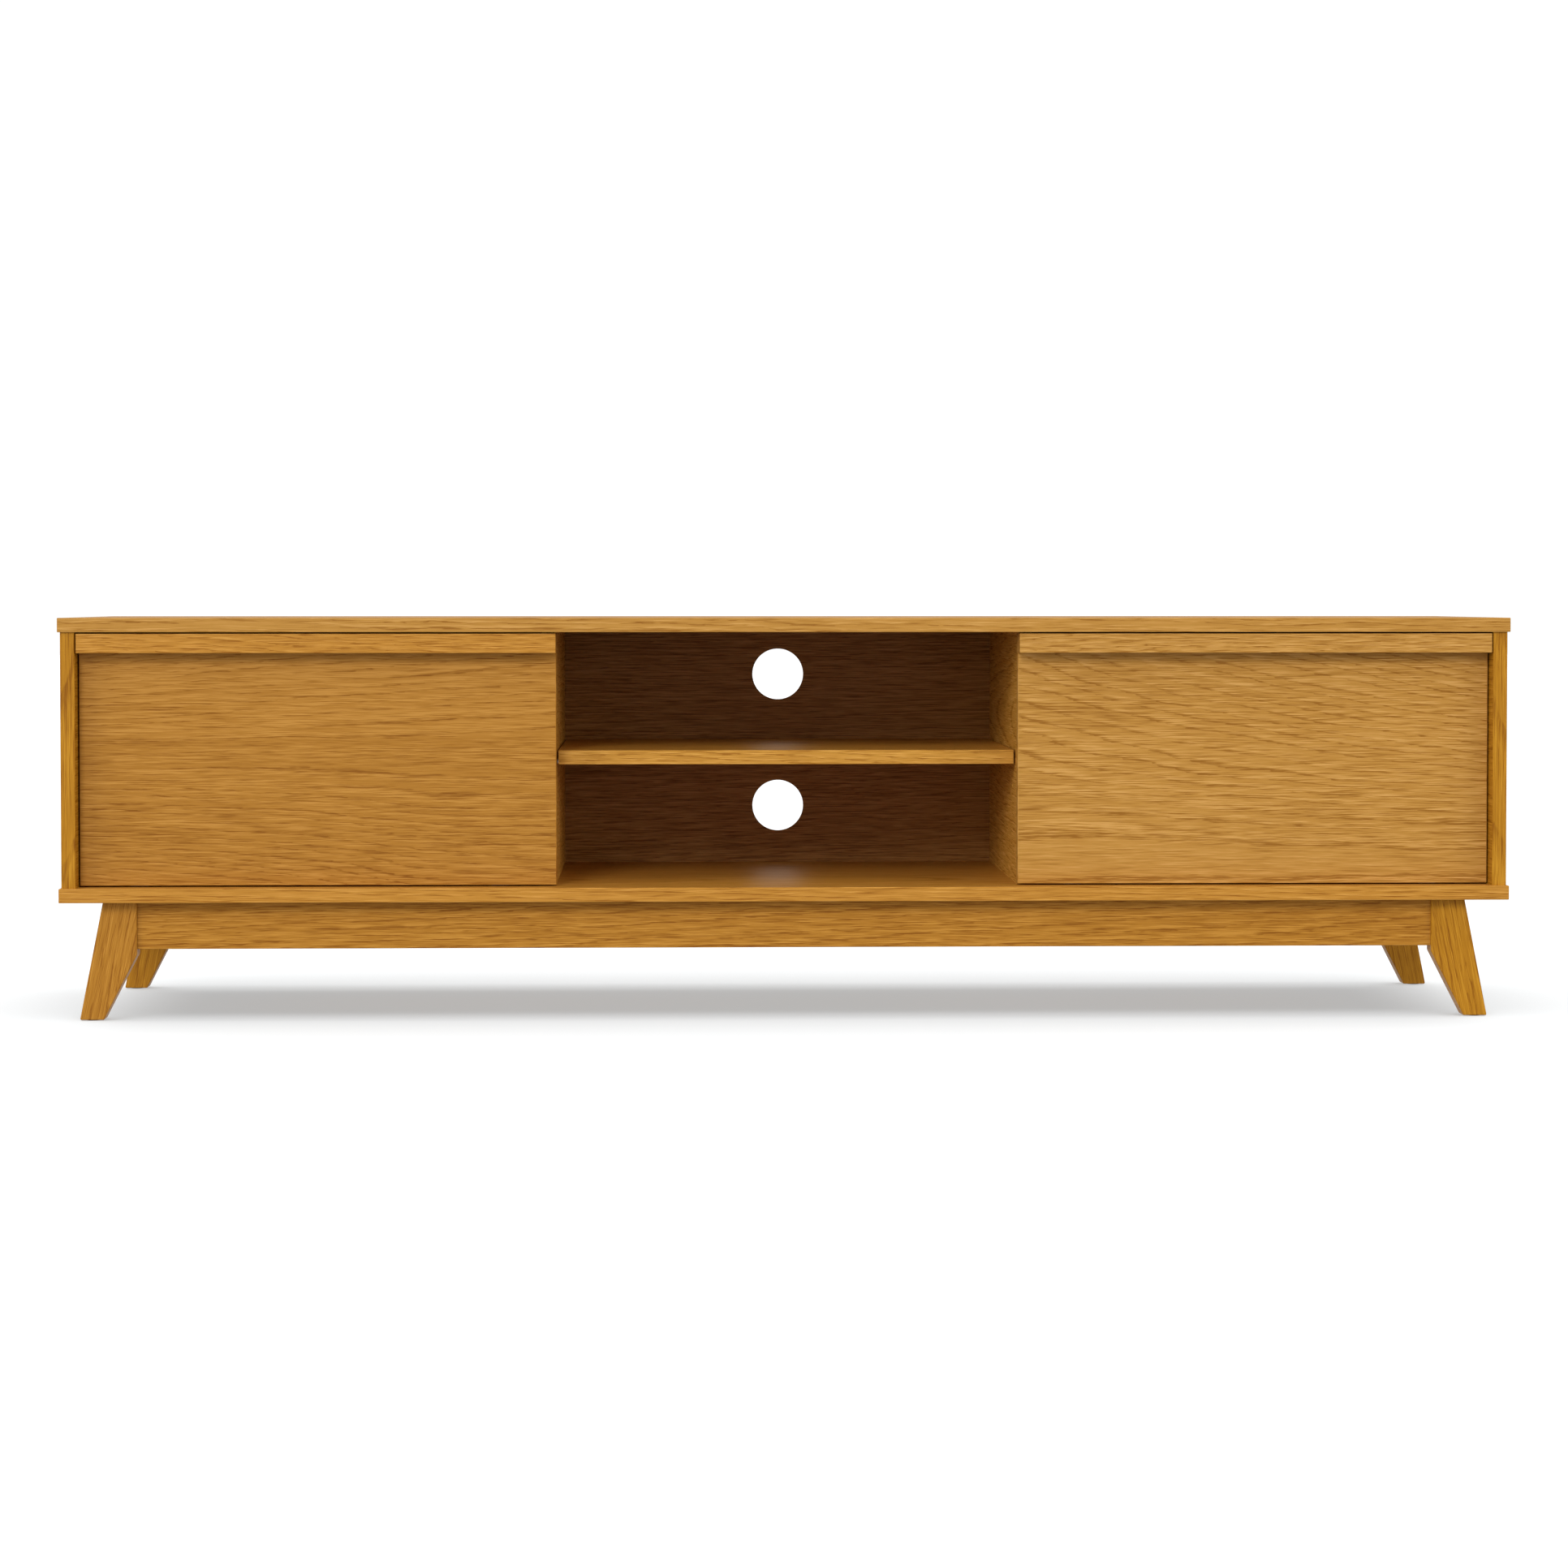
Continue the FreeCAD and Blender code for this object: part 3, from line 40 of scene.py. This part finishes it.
# ---------------------------------------------------------------- node helpers
class Nodes:
    """Adds nodes to one node tree with short calls. Most of them return the new node's output."""

    def __init__(self, tree):
        self.tree = tree

    def feed(self, socket, value):
        """Links an output to the socket, or sets a constant on it. None leaves it as it is."""
        if isinstance(value, bpy.types.NodeSocket):
            self.tree.links.new(value, socket)
        elif value is not None:
            lacks_alpha = socket.type == "RGBA" and len(value) == 3
            socket.default_value = (*value, 1.0) if lacks_alpha else value

    def feed_named(self, made, **values):
        """Feeds a node's inputs by name, with an underscore for each space."""
        for name, value in values.items():
            self.feed(made.inputs[name.replace("_", " ")], value)
        return made

    def node(self, kind, *values, **settings):
        made = self.tree.nodes.new(kind)
        for key, value in settings.items():
            setattr(made, key, value)
        for socket, value in zip(made.inputs, values):
            self.feed(socket, value)
        return made

    def calc(self, operation, first, second=None, third=None):
        return self.node("ShaderNodeMath", first, second, third, operation=operation).outputs[0]

    def times(self, first, second):
        return self.calc("MULTIPLY", first, second)

    def add_times(self, start, value, factor):
        """The start plus the value times the factor."""
        return self.calc("MULTIPLY_ADD", value, factor, start)

    def span(self, value, low, high, to_low=0.0, to_high=1.0):
        """The value mapped smoothly from one range to another and held at its ends."""
        made = self.node("ShaderNodeMapRange", value, low, high, to_low, to_high,
                         interpolation_type="SMOOTHSTEP")
        return made.outputs[0]

    def mix(self, factor, first, second, kind="RGBA"):
        """Kind is RGBA for colours, VECTOR for places."""
        made = self.node("ShaderNodeMix", factor, data_type=kind)
        for name, value in (("A", first), ("B", second)):
            self.feed(next(s for s in made.inputs if (s.name, s.type) == (name, kind)), value)
        return next(s for s in made.outputs if s.type == kind)

    def parts(self, vector):
        return self.node("ShaderNodeSeparateXYZ", vector).outputs

    def join(self, x, y, z):
        return self.node("ShaderNodeCombineXYZ", x, y, z).outputs[0]

    def vector(self, operation, first, second):
        return self.node("ShaderNodeVectorMath", first, second, operation=operation).outputs[0]

    def turned(self, vector, rotation):
        return self.feed_named(self.node("ShaderNodeMapping", vector), Rotation=rotation).outputs[0]

    def noise(self, vector, scale=1.0, detail=2.0, roughness=0.5, distortion=0.0):
        made = self.feed_named(self.node("ShaderNodeTexNoise"), Vector=vector, Scale=scale,
                               Detail=detail, Roughness=roughness, Distortion=distortion)
        return made.outputs["Fac"]

    def bump(self, height, strength, distance):
        made = self.feed_named(self.node("ShaderNodeBump"), Height=height, Strength=strength,
                               Distance=distance)
        return made.outputs["Normal"]


class Shader(Nodes):
    """The node tree of one new material."""

    def __init__(self, name):
        self.material = bpy.data.materials.new(name)
        self.material.use_nodes = True
        super().__init__(self.material.node_tree)

    def place(self):
        return self.node("ShaderNodeTexCoord").outputs["Object"]

    def done(self, colour, roughness, relief=None, **constants):
        """The finished material; constants are set on the surface's own sockets."""
        self.feed_named(self.tree.nodes["Principled BSDF"], Base_Color=colour, Roughness=roughness,
                        Normal=relief, **constants)
        return self.material


def shaded(colour, factor):
    return tuple(factor * part for part in colour)


# ---------------------------------------------------------------- oak
ALONG = {
    "X": (0.0, 0.0, 0.0),
    "Y": (0.0, 0.0, -QUARTER_TURN),
    "Z": (0.0, QUARTER_TURN, 0.0),
}
LIPPING = 0.8 * MM

# noise drawn out along the fibres: features per metre along and across them, a shift that keeps
# the noises apart, detail and roughness. The board shift keeps the pieces' figures apart
WAVE = (2.6, 9.0, 3.0, 2.0, 0.5)
RIPPLE = (11.0, 60.0, 7.0, 1.0, 0.5)
STEP = (45.0, 520.0, 9.0, 1.0, 0.5)
FIBRE = (24.0, 960.0, 5.0, 2.0, 0.6)
DASH = (48.0, 760.0, 11.0, 1.0, 0.5)
STRAND = (9.0, 150.0, 17.0, 2.0, 0.5)
PATCH = (1.8, 16.0, 0.0, 2.0, 0.5)
BOARD_SHIFT = 1.37

# how far the noises push the growth rings sideways, and how often and how much their widths vary
RING_WANDER = ((WAVE, 34 * MM), (RIPPLE, 6 * MM), (STEP, 5 * MM))
UNEVEN_PER_RING = 0.4
UNEVEN_RINGS = 1.8

# parts of a ring, from 0 to 1: full from the first phase, fading from the second to the third
PORE_LINE = (0.05, 0.10, 0.27)
EARLY_WOOD = (0.10, 0.30, 0.85)

# how often the pore lines change strength, per ring and per metre, and how noise fades and breaks
# them: low and high noise, and the strength at each
LINE_CHANGES = (0.7, 4.0)
LINE_FADES = (0.30, 0.60, 0.40, 1.0)
LINE_BREAKS = (0.36, 0.54, 0.60, 1.0)

# tone is 0 at the dark end of the stain and 1 in the pale filling of the pores
MIDDLE_TONE = 0.5
FIBRE_TONE = 1.5
STRAND_TONE = 0.30
PATCH_TONE = 0.30
EARLY_TONE = 0.10
LINE_TONE = -0.44
DARK_TO_BASE = (0.05, 0.52)
BASE_TO_PALE = (0.48, 0.98)

OAK_BUMP = 0.25
OAK_RELIEF = 0.2 * MM
OAK_ROUGHNESS = 0.50
SMOOTHER_WHEN_PALE = -0.16
OAK_SPECULAR = 0.16


def fibre_places(shader, node, grain, lipping):
    """Metres from the middle of the piece, turned so that the first axis follows the fibres."""
    low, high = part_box(node)
    centre = tuple((low[axis] + high[axis]) / 2 for axis in range(3))
    place = shader.vector("SUBTRACT", shader.place(), centre)
    turned = shader.turned(place, ALONG.get(grain, grain))
    if not lipping:
        return shader.parts(turned)
    letter, lipping_grain = lipping
    axis = "xyz".index(letter)
    core = (high[axis] - low[axis]) / 2 - LIPPING
    outside = shader.calc("GREATER_THAN", shader.calc("ABSOLUTE", shader.parts(place)[axis]), core)
    edge = shader.turned(place, ALONG[lipping_grain])
    return shader.parts(shader.mix(outside, turned, edge, "VECTOR"))


def growth_rings(shader, along, across, normal, heart, drawn, shift):
    """How many rings out from their heart each point is. The heart is a line that leans away from
    the board, and the rings' edges climb in steps along the pores."""
    heart_across, heart_depth, lean, fan, ring_width = heart
    depth = shader.add_times(shader.calc("ADD", normal, heart_depth), along, lean)
    side = shader.calc("SUBTRACT", across, heart_across)
    side = shader.add_times(side, shader.times(along, side), fan)
    for noise, reach in RING_WANDER:
        side = shader.add_times(side, drawn(noise), reach)
    squared = shader.calc("ADD", shader.times(depth, depth), shader.times(side, side))
    rings = shader.times(shader.calc("SQRT", squared), 1 / (ring_width * MM))
    uneven = shader.noise(shader.join(shader.times(rings, UNEVEN_PER_RING), shift, 0.0), detail=1.0)
    return shader.add_times(rings, uneven, UNEVEN_RINGS)


def oak(node, shift, grain, face, heart, tint, contrast, lipping):
    """Lacquered oak. Grain names the axis or turn that the fibres follow; face says which local
    axis is normal to the broad face; lipping names the edges with a strip of their own grain."""
    shader = Shader("oak_" + node)
    base, pale, dark = tint
    u, v, w = fibre_places(shader, node, grain, lipping)
    normal, across = (v, w) if face == "v" else (w, v)

    def drawn(noise, middle=0.5):
        """Noise drawn out along the fibres, about 0, or about 0.5 where the middle is 0."""
        per_along, per_across, own_shift, detail, roughness = noise
        stretched = shader.join(shader.add_times(shift + own_shift, u, per_along),
                                shader.times(v, per_across), shader.times(w, per_across))
        made = shader.noise(stretched, 1.0, detail, roughness)
        return shader.calc("SUBTRACT", made, middle) if middle else made

    def within(phase, full, fade, end):
        return shader.times(shader.span(phase, 0.0, full), shader.span(phase, end, fade))

    rings = growth_rings(shader, u, across, normal, heart, drawn, shift)
    phase = shader.calc("FRACT", rings)
    early = within(phase, *EARLY_WOOD)
    per_ring, per_metre = LINE_CHANGES
    weight = shader.noise(shader.join(shader.times(rings, per_ring), shift,
                                      shader.times(u, per_metre)), detail=1.0)
    line = shader.times(within(phase, *PORE_LINE), shader.span(weight, *LINE_FADES))
    line = shader.times(line, shader.span(drawn(DASH, middle=0), *LINE_BREAKS))

    strand = drawn(STRAND)
    lively = shader.add_times(FIBRE_TONE * contrast, early, FIBRE_TONE * contrast)
    tone = shader.add_times(MIDDLE_TONE, drawn(FIBRE), lively)
    for part, strength in (
        (strand, STRAND_TONE),
        (drawn(PATCH), PATCH_TONE),
        (early, EARLY_TONE),
        (line, LINE_TONE),
    ):
        tone = shader.add_times(tone, part, strength)
    if node in PALER_LEAF:
        seam, paler, blur, waviness = PALER_LEAF[node]
        height = shader.add_times(across, strand, waviness)
        tone = shader.add_times(tone, shader.span(height, seam - blur, seam + blur), paler)
    colour = shader.mix(shader.span(tone, *DARK_TO_BASE), dark, base)
    colour = shader.mix(shader.span(tone, *BASE_TO_PALE), colour, pale)
    relief = shader.bump(tone, OAK_BUMP, OAK_RELIEF)
    roughness = shader.add_times(OAK_ROUGHNESS, tone, SMOOTHER_WHEN_PALE)
    return shader.done(colour, roughness, relief, Specular_IOR_Level=OAK_SPECULAR)


PALE_OF_BASE = (1.28, 1.40, 2.05)
DARK_OF_BASE = (0.62, 0.51, 0.32)


def stain(red, green, blue):
    """Base, pale and dark tones of one stain; the pale one is the filling of the pores."""
    base = (red, green, blue)
    pale = tuple(part * factor for part, factor in zip(base, PALE_OF_BASE))
    dark = tuple(part * factor for part, factor in zip(base, DARK_OF_BASE))
    return base, pale, dark


HONEY = stain(0.480, 0.214, 0.028)
# a paler copy of the honey stain for the dividers and the centre shelf of the open bay: painted
# light, standing in for light the lamps don't bring inside
HONEY_WITH_PAINTED_LIGHT = stain(0.530, 0.252, 0.036)
AMBER = stain(0.430, 0.184, 0.019)
STRAW = stain(0.470, 0.230, 0.042)
GOLD = stain(0.420, 0.178, 0.009)
TAWNY = stain(0.400, 0.174, 0.022)
# a darker stain for the three back panels: partly their own darker tone, partly painted shade at the
# back of the open bay
BACK_STAIN_WITH_PAINTED_SHADE = stain(0.335, 0.140, 0.024)

LEG_LEAN = 0.19
LEFT_LEG = (0.0, QUARTER_TURN - LEG_LEAN, 0.0)
RIGHT_LEG = (0.0, QUARTER_TURN + LEG_LEAN, 0.0)

# where one leaf of the veneer is paler: its seam above the middle of the piece, how much paler,
# and the seam's blur and waviness
PALER_LEAF = {"left_door": (28 * MM, 0.14, 2 * MM, 4 * MM)}

# node: fibre direction, axis normal to the broad face, heart of the rings (metres across and
# behind the middle of the piece, lean, fan, ring width in mm), stain, contrast, lipped edges and
# the fibres of the lipping
WOOD = {
    "top_panel": ("X", "w", (0.08, 0.30, 0.02, 0.0, 6.0), STRAW, 0.7, ("x", "Y")),
    "bottom_panel": ("X", "w", (-0.10, 0.28, 0.03, 0.0, 6.5), HONEY, 0.8, ("x", "Y")),
    "left_side_panel": ("Y", "v", (0.03, 0.08, 0.06, 0.0, 8.0), GOLD, 0.9, ("y", "Z")),
    "right_side_panel": ("Y", "v", (-0.02, 0.08, 0.06, 0.0, 8.0), GOLD, 0.9, ("y", "Z")),
    # the dividers and the centre shelf take the paler honey copy, which is painted light in the open
    # bay
    "left_divider": ("Y", "v", (0.02, 0.07, 0.05, 0.0, 8.0), HONEY_WITH_PAINTED_LIGHT, 1.0, ("y", "Z")),
    "right_divider": ("Y", "v", (0.05, 0.07, 0.05, 0.0, 8.0), HONEY_WITH_PAINTED_LIGHT, 1.0, ("y", "Z")),
    # the back panels take the darker stain, which is partly painted shade
    "centre_back_panel": ("X", "v", (0.30, 0.06, 0.02, 0.2, 8.0), BACK_STAIN_WITH_PAINTED_SHADE, 1.4, None),
    "left_back_panel": ("X", "v", (0.02, 0.06, 0.05, 0.0, 8.0), BACK_STAIN_WITH_PAINTED_SHADE, 1.2, None),
    "right_back_panel": ("X", "v", (-0.03, 0.06, 0.05, 0.0, 8.0), BACK_STAIN_WITH_PAINTED_SHADE, 1.2, None),
    "centre_shelf": ("X", "w", (0.04, 0.20, 0.03, 0.0, 6.0), HONEY_WITH_PAINTED_LIGHT, 1.0, ("x", "Y")),
    "left_shelf": ("X", "w", (0.04, 0.20, 0.03, 0.0, 6.0), HONEY, 1.0, ("x", "Y")),
    "right_shelf": ("X", "w", (0.04, 0.20, 0.03, 0.0, 6.0), HONEY, 1.0, ("x", "Y")),
    "left_door": ("X", "v", (0.005, 0.05, 0.0, -0.8, 9.0), TAWNY, 1.0, ("x", "Z")),
    "right_door": ("X", "v", (-0.13, 0.06, 0.0, 1.1, 13.0), STRAW, 1.05, ("x", "Z")),
    "left_pull": ("X", "v", (-0.25, 0.10, 0.01, 0.2, 6.0), HONEY, 1.05, None),
    "right_pull": ("X", "v", (-0.25, 0.10, 0.01, -0.2, 6.0), STRAW, 1.4, None),
    "front_rail": ("X", "v", (-0.20, 0.10, 0.0, -0.3, 9.0), AMBER, 1.1, None),
    "rear_rail": ("X", "v", (0.10, 0.08, 0.03, 0.0, 9.0), AMBER, 1.0, None),
    "left_side_rail": ("Y", "v", (0.12, 0.08, 0.03, 0.0, 8.0), AMBER, 1.0, None),
    "right_side_rail": ("Y", "v", (0.12, 0.08, 0.03, 0.0, 8.0), AMBER, 1.0, None),
    "front_left_leg": (LEFT_LEG, "v", (0.15, 0.20, 0.0, 0.0, 5.0), AMBER, 0.9, None),
    "rear_left_leg": (LEFT_LEG, "v", (0.11, 0.20, 0.0, 0.0, 5.0), GOLD, 0.9, None),
    "front_right_leg": (RIGHT_LEG, "v", (-0.15, 0.20, 0.0, 0.0, 5.0), GOLD, 0.9, None),
    "rear_right_leg": (RIGHT_LEG, "v", (-0.11, 0.20, 0.0, 0.0, 5.0), GOLD, 0.9, None),
}


# ---------------------------------------------------------------- other materials
# features per metre along and across the fibres of planed wood
PLANED_LINES = (6.0, 240.0, 240.0)
PLANED_GROWTH = (2.0, 60.0, 60.0)
GROWTH_SHADE = 0.72
LINE_SHADE = 0.4
PLANED_BUMP = 0.4
PLANED_RELIEF = 0.1 * MM
PLANED_ROUGHNESS = (0.6, 0.78)

CLOUD_SHADE = 0.82
CLOUD_ROUGHNESS = 0.14
BRUSHED_BUMP = 0.25
BRUSHED_RELIEF = 0.05 * MM

WORN_SCALE = 90.0
WORN_SHADE = 1.35
WORN_ROUGHNESS = 0.2
SPARK_BUMP = 0.35
SPARK_RELIEF = 0.06 * MM


def plain_wood(name, grain, colour, growth_swirl):
    """Planed, unstained wood with faint growth lines."""
    shader = Shader(name)
    local = shader.turned(shader.place(), ALONG[grain])
    lines = shader.noise(shader.vector("MULTIPLY", local, PLANED_LINES), 1.0, 3.0, 0.6, 0.3)
    growth = shader.noise(shader.vector("MULTIPLY", local, PLANED_GROWTH), distortion=growth_swirl)
    dark = shaded(colour, GROWTH_SHADE)
    mixed = shader.mix(shader.span(growth, 0.35, 0.65), dark, colour)
    mixed = shader.mix(shader.times(shader.span(lines, 0.45, 0.7), LINE_SHADE), mixed, dark)
    roughness = shader.span(lines, 0.2, 0.8, *PLANED_ROUGHNESS)
    return shader.done(mixed, roughness, shader.bump(lines, PLANED_BUMP, PLANED_RELIEF))


def metal(name, colour, roughness, brushed, clouded):
    """Plated or cast metal: fine brushing or a cloudy cast skin, and faint handling marks."""
    shader = Shader(name)
    local = shader.place()
    lines = shader.noise(shader.vector("MULTIPLY", local, brushed), roughness=0.6)
    cloud = shader.noise(local, clouded, 3.0, 0.6)
    shade = shader.mix(shader.span(cloud, 0.3, 0.7), shaded(colour, CLOUD_SHADE), colour)
    marked = shader.add_times(roughness, shader.span(cloud, 0.25, 0.75), CLOUD_ROUGHNESS)
    relief = shader.bump(lines, BRUSHED_BUMP, BRUSHED_RELIEF)
    return shader.done(shade, marked, relief, Metallic=1.0)


def moulded(name, colour, roughness, grain_scale, **constants):
    """Moulded plastic or rubber with a fine spark-eroded grain."""
    shader = Shader(name)
    local = shader.place()
    grain = shader.noise(local, grain_scale, roughness=0.6)
    worn = shader.noise(local, WORN_SCALE, 3.0, 0.6)
    shade = shader.mix(shader.span(worn, 0.35, 0.75), colour, shaded(colour, WORN_SHADE))
    dulled = shader.add_times(roughness, worn, WORN_ROUGHNESS)
    relief = shader.bump(grain, SPARK_BUMP, SPARK_RELIEF)
    return shader.done(shade, dulled, relief, **constants)


# ---------------------------------------------------------------- every node's material
oaks = {node: oak(node, BOARD_SHIFT * index, *cut) for index, (node, cut) in enumerate(WOOD.items())}
by_slot = {
    "frame_pine": plain_wood("pine", "Y", (0.62, 0.42, 0.22), 0.4),
    "beech": plain_wood("beech", "Z", (0.66, 0.44, 0.27), 0.1),
    "zinc_steel": metal("zinc_steel", (0.74, 0.75, 0.78), 0.40, (900.0, 900.0, 60.0), 160.0),
    "zinc_casting": metal("zinc_casting", (0.62, 0.62, 0.63), 0.48, (500.0, 500.0, 500.0), 260.0),
    "black_plastic": moulded("black_plastic", (0.020, 0.020, 0.022), 0.42, 2600.0),
    "clear_rubber": moulded("clear_rubber", (0.55, 0.55, 0.52), 0.35, 900.0,
                            Transmission_Weight=0.35),
}
slot_of = {part["node"]: part["material_slot"] for part in frame["record"]["subparts"]}
for node, piece in frame["nodes"].items():
    piece.data.materials.clear()
    piece.data.materials.append(oaks.get(node) or by_slot[slot_of[node]])

# ---------------------------------------------------------------- studio
FLOOR_HALF = 30.0
FLOOR_GREY = (0.42, 0.42, 0.42)
FLOOR_GLOW = (0.94, 1.0, 1.03)
FLOOR_GLOW_STRENGTH = 0.42

# the surround's light against height or depth of its direction: where it starts and ends to
# change, and its strength there
OVERHEAD_LIGHT = (0.10, 0.90, 0.25, 0.40)
BEHIND_LIGHT = (0.2, 0.8, 0.0, 0.65)
BELOW_LIGHT = (-0.75, -0.05, 0.19, 0.0)
SEEN_WHITE = 1.05
SUN_DISTANCE = 5.0


def make_floor():
    """A pale seamless floor; its own faint glow keeps the shadow under the cabinet soft."""
    mesh = bpy.data.meshes.new("studio_floor")
    corners = [(x * FLOOR_HALF, y * FLOOR_HALF, 0) for x, y in ((-1, -1), (1, -1), (1, 1), (-1, 1))]
    mesh.from_pydata(corners, [], [(0, 1, 2, 3)])
    mesh.materials.append(Shader("studio_floor").done(
        FLOOR_GREY, 1.0, Specular_IOR_Level=0.0, Emission_Color=FLOOR_GLOW,
        Emission_Strength=FLOOR_GLOW_STRENGTH))
    floor = bpy.data.objects.new("studio_floor", mesh)
    floor.visible_diffuse = False
    floor.visible_glossy = False
    scene.collection.objects.link(floor)
    return floor


def make_world():
    """White surround for the eye; for light, bright overhead and behind, dim in front."""
    world = bpy.data.worlds.new("studio")
    scene.world = world
    world.use_nodes = True
    nodes = Nodes(world.node_tree)
    nodes.tree.nodes.clear()
    direction = nodes.parts(nodes.node("ShaderNodeTexCoord").outputs["Generated"])
    overhead = nodes.span(direction["Z"], *OVERHEAD_LIGHT)
    behind = nodes.span(direction["Y"], *BEHIND_LIGHT)
    below = nodes.span(direction["Z"], *BELOW_LIGHT)
    strength = nodes.calc("ADD", nodes.calc("MAXIMUM", overhead, behind), below)
    light = nodes.node("ShaderNodeBackground", WHITE, strength).outputs[0]
    seen = nodes.node("ShaderNodeBackground", WHITE, SEEN_WHITE).outputs[0]
    by_eye = nodes.node("ShaderNodeLightPath").outputs["Is Camera Ray"]
    either = nodes.node("ShaderNodeMixShader", by_eye, light, seen).outputs[0]
    nodes.node("ShaderNodeOutputWorld", either)


def make_sun(name, azimuth, elevation, strength, spread, lit, glossy=True):
    """A soft distant light on one collection, with angles in degrees. Azimuth 0 shines from the
    front, 90 from the right. A light that isn't glossy gives no sheen."""
    light = bpy.data.lights.new(name, "SUN")
    light.energy = strength
    light.angle = math.radians(spread)
    sun = bpy.data.objects.new(name, light)
    turn, rise = math.radians(azimuth), math.radians(elevation)
    from_there = Vector((math.sin(turn) * math.cos(rise), -math.cos(turn) * math.cos(rise),
                         math.sin(rise)))
    sun.rotation_euler = (-from_there).to_track_quat("-Z", "Y").to_euler()
    sun.location = from_there * SUN_DISTANCE
    sun.light_linking.receiver_collection = lit
    sun.visible_glossy = glossy
    scene.collection.objects.link(sun)


def lit_group(name, pieces):
    """A collection for lights to shine on."""
    group = bpy.data.collections.new(name)
    for piece in pieces:
        group.objects.link(piece)
    return group


CAMERA_PLACE = (-0.1469, -4.8099, 0.5316)
CAMERA_PITCH = 0.0309
CAMERA_YAW = 0.0309
CAMERA_LENS = 83.69
CAMERA_SENSOR = 36.0
CAMERA_SHIFT = -0.0461


def make_camera():
    camera = bpy.data.objects.new("camera", bpy.data.cameras.new("camera"))
    camera.location = CAMERA_PLACE
    camera.rotation_euler = (QUARTER_TURN - CAMERA_PITCH, 0.0, -CAMERA_YAW)
    camera.data.sensor_width = CAMERA_SENSOR
    camera.data.lens = CAMERA_LENS
    camera.data.shift_y = CAMERA_SHIFT
    scene.collection.objects.link(camera)
    scene.camera = camera


cabinet = lit_group("cabinet_only", frame["nodes"].values())
floor = lit_group("floor_only", [make_floor()])
make_world()
make_sun("key", azimuth=-15, elevation=25, strength=1.02, spread=18, lit=cabinet)
make_sun("front_fill", azimuth=0, elevation=3, strength=0.30, spread=70, lit=cabinet)
make_sun("left_side", azimuth=-58, elevation=8, strength=1.30, spread=40, lit=cabinet, glossy=False)
make_sun("right_side", azimuth=58, elevation=8, strength=1.15, spread=40, lit=cabinet, glossy=False)
make_sun("overhead", azimuth=0, elevation=89, strength=1.5, spread=80, lit=cabinet)
make_sun("shadow", azimuth=0, elevation=89, strength=4.7, spread=92, lit=floor)
make_camera()
scene.view_settings.view_transform = "Standard"
scene.view_settings.look = "None"
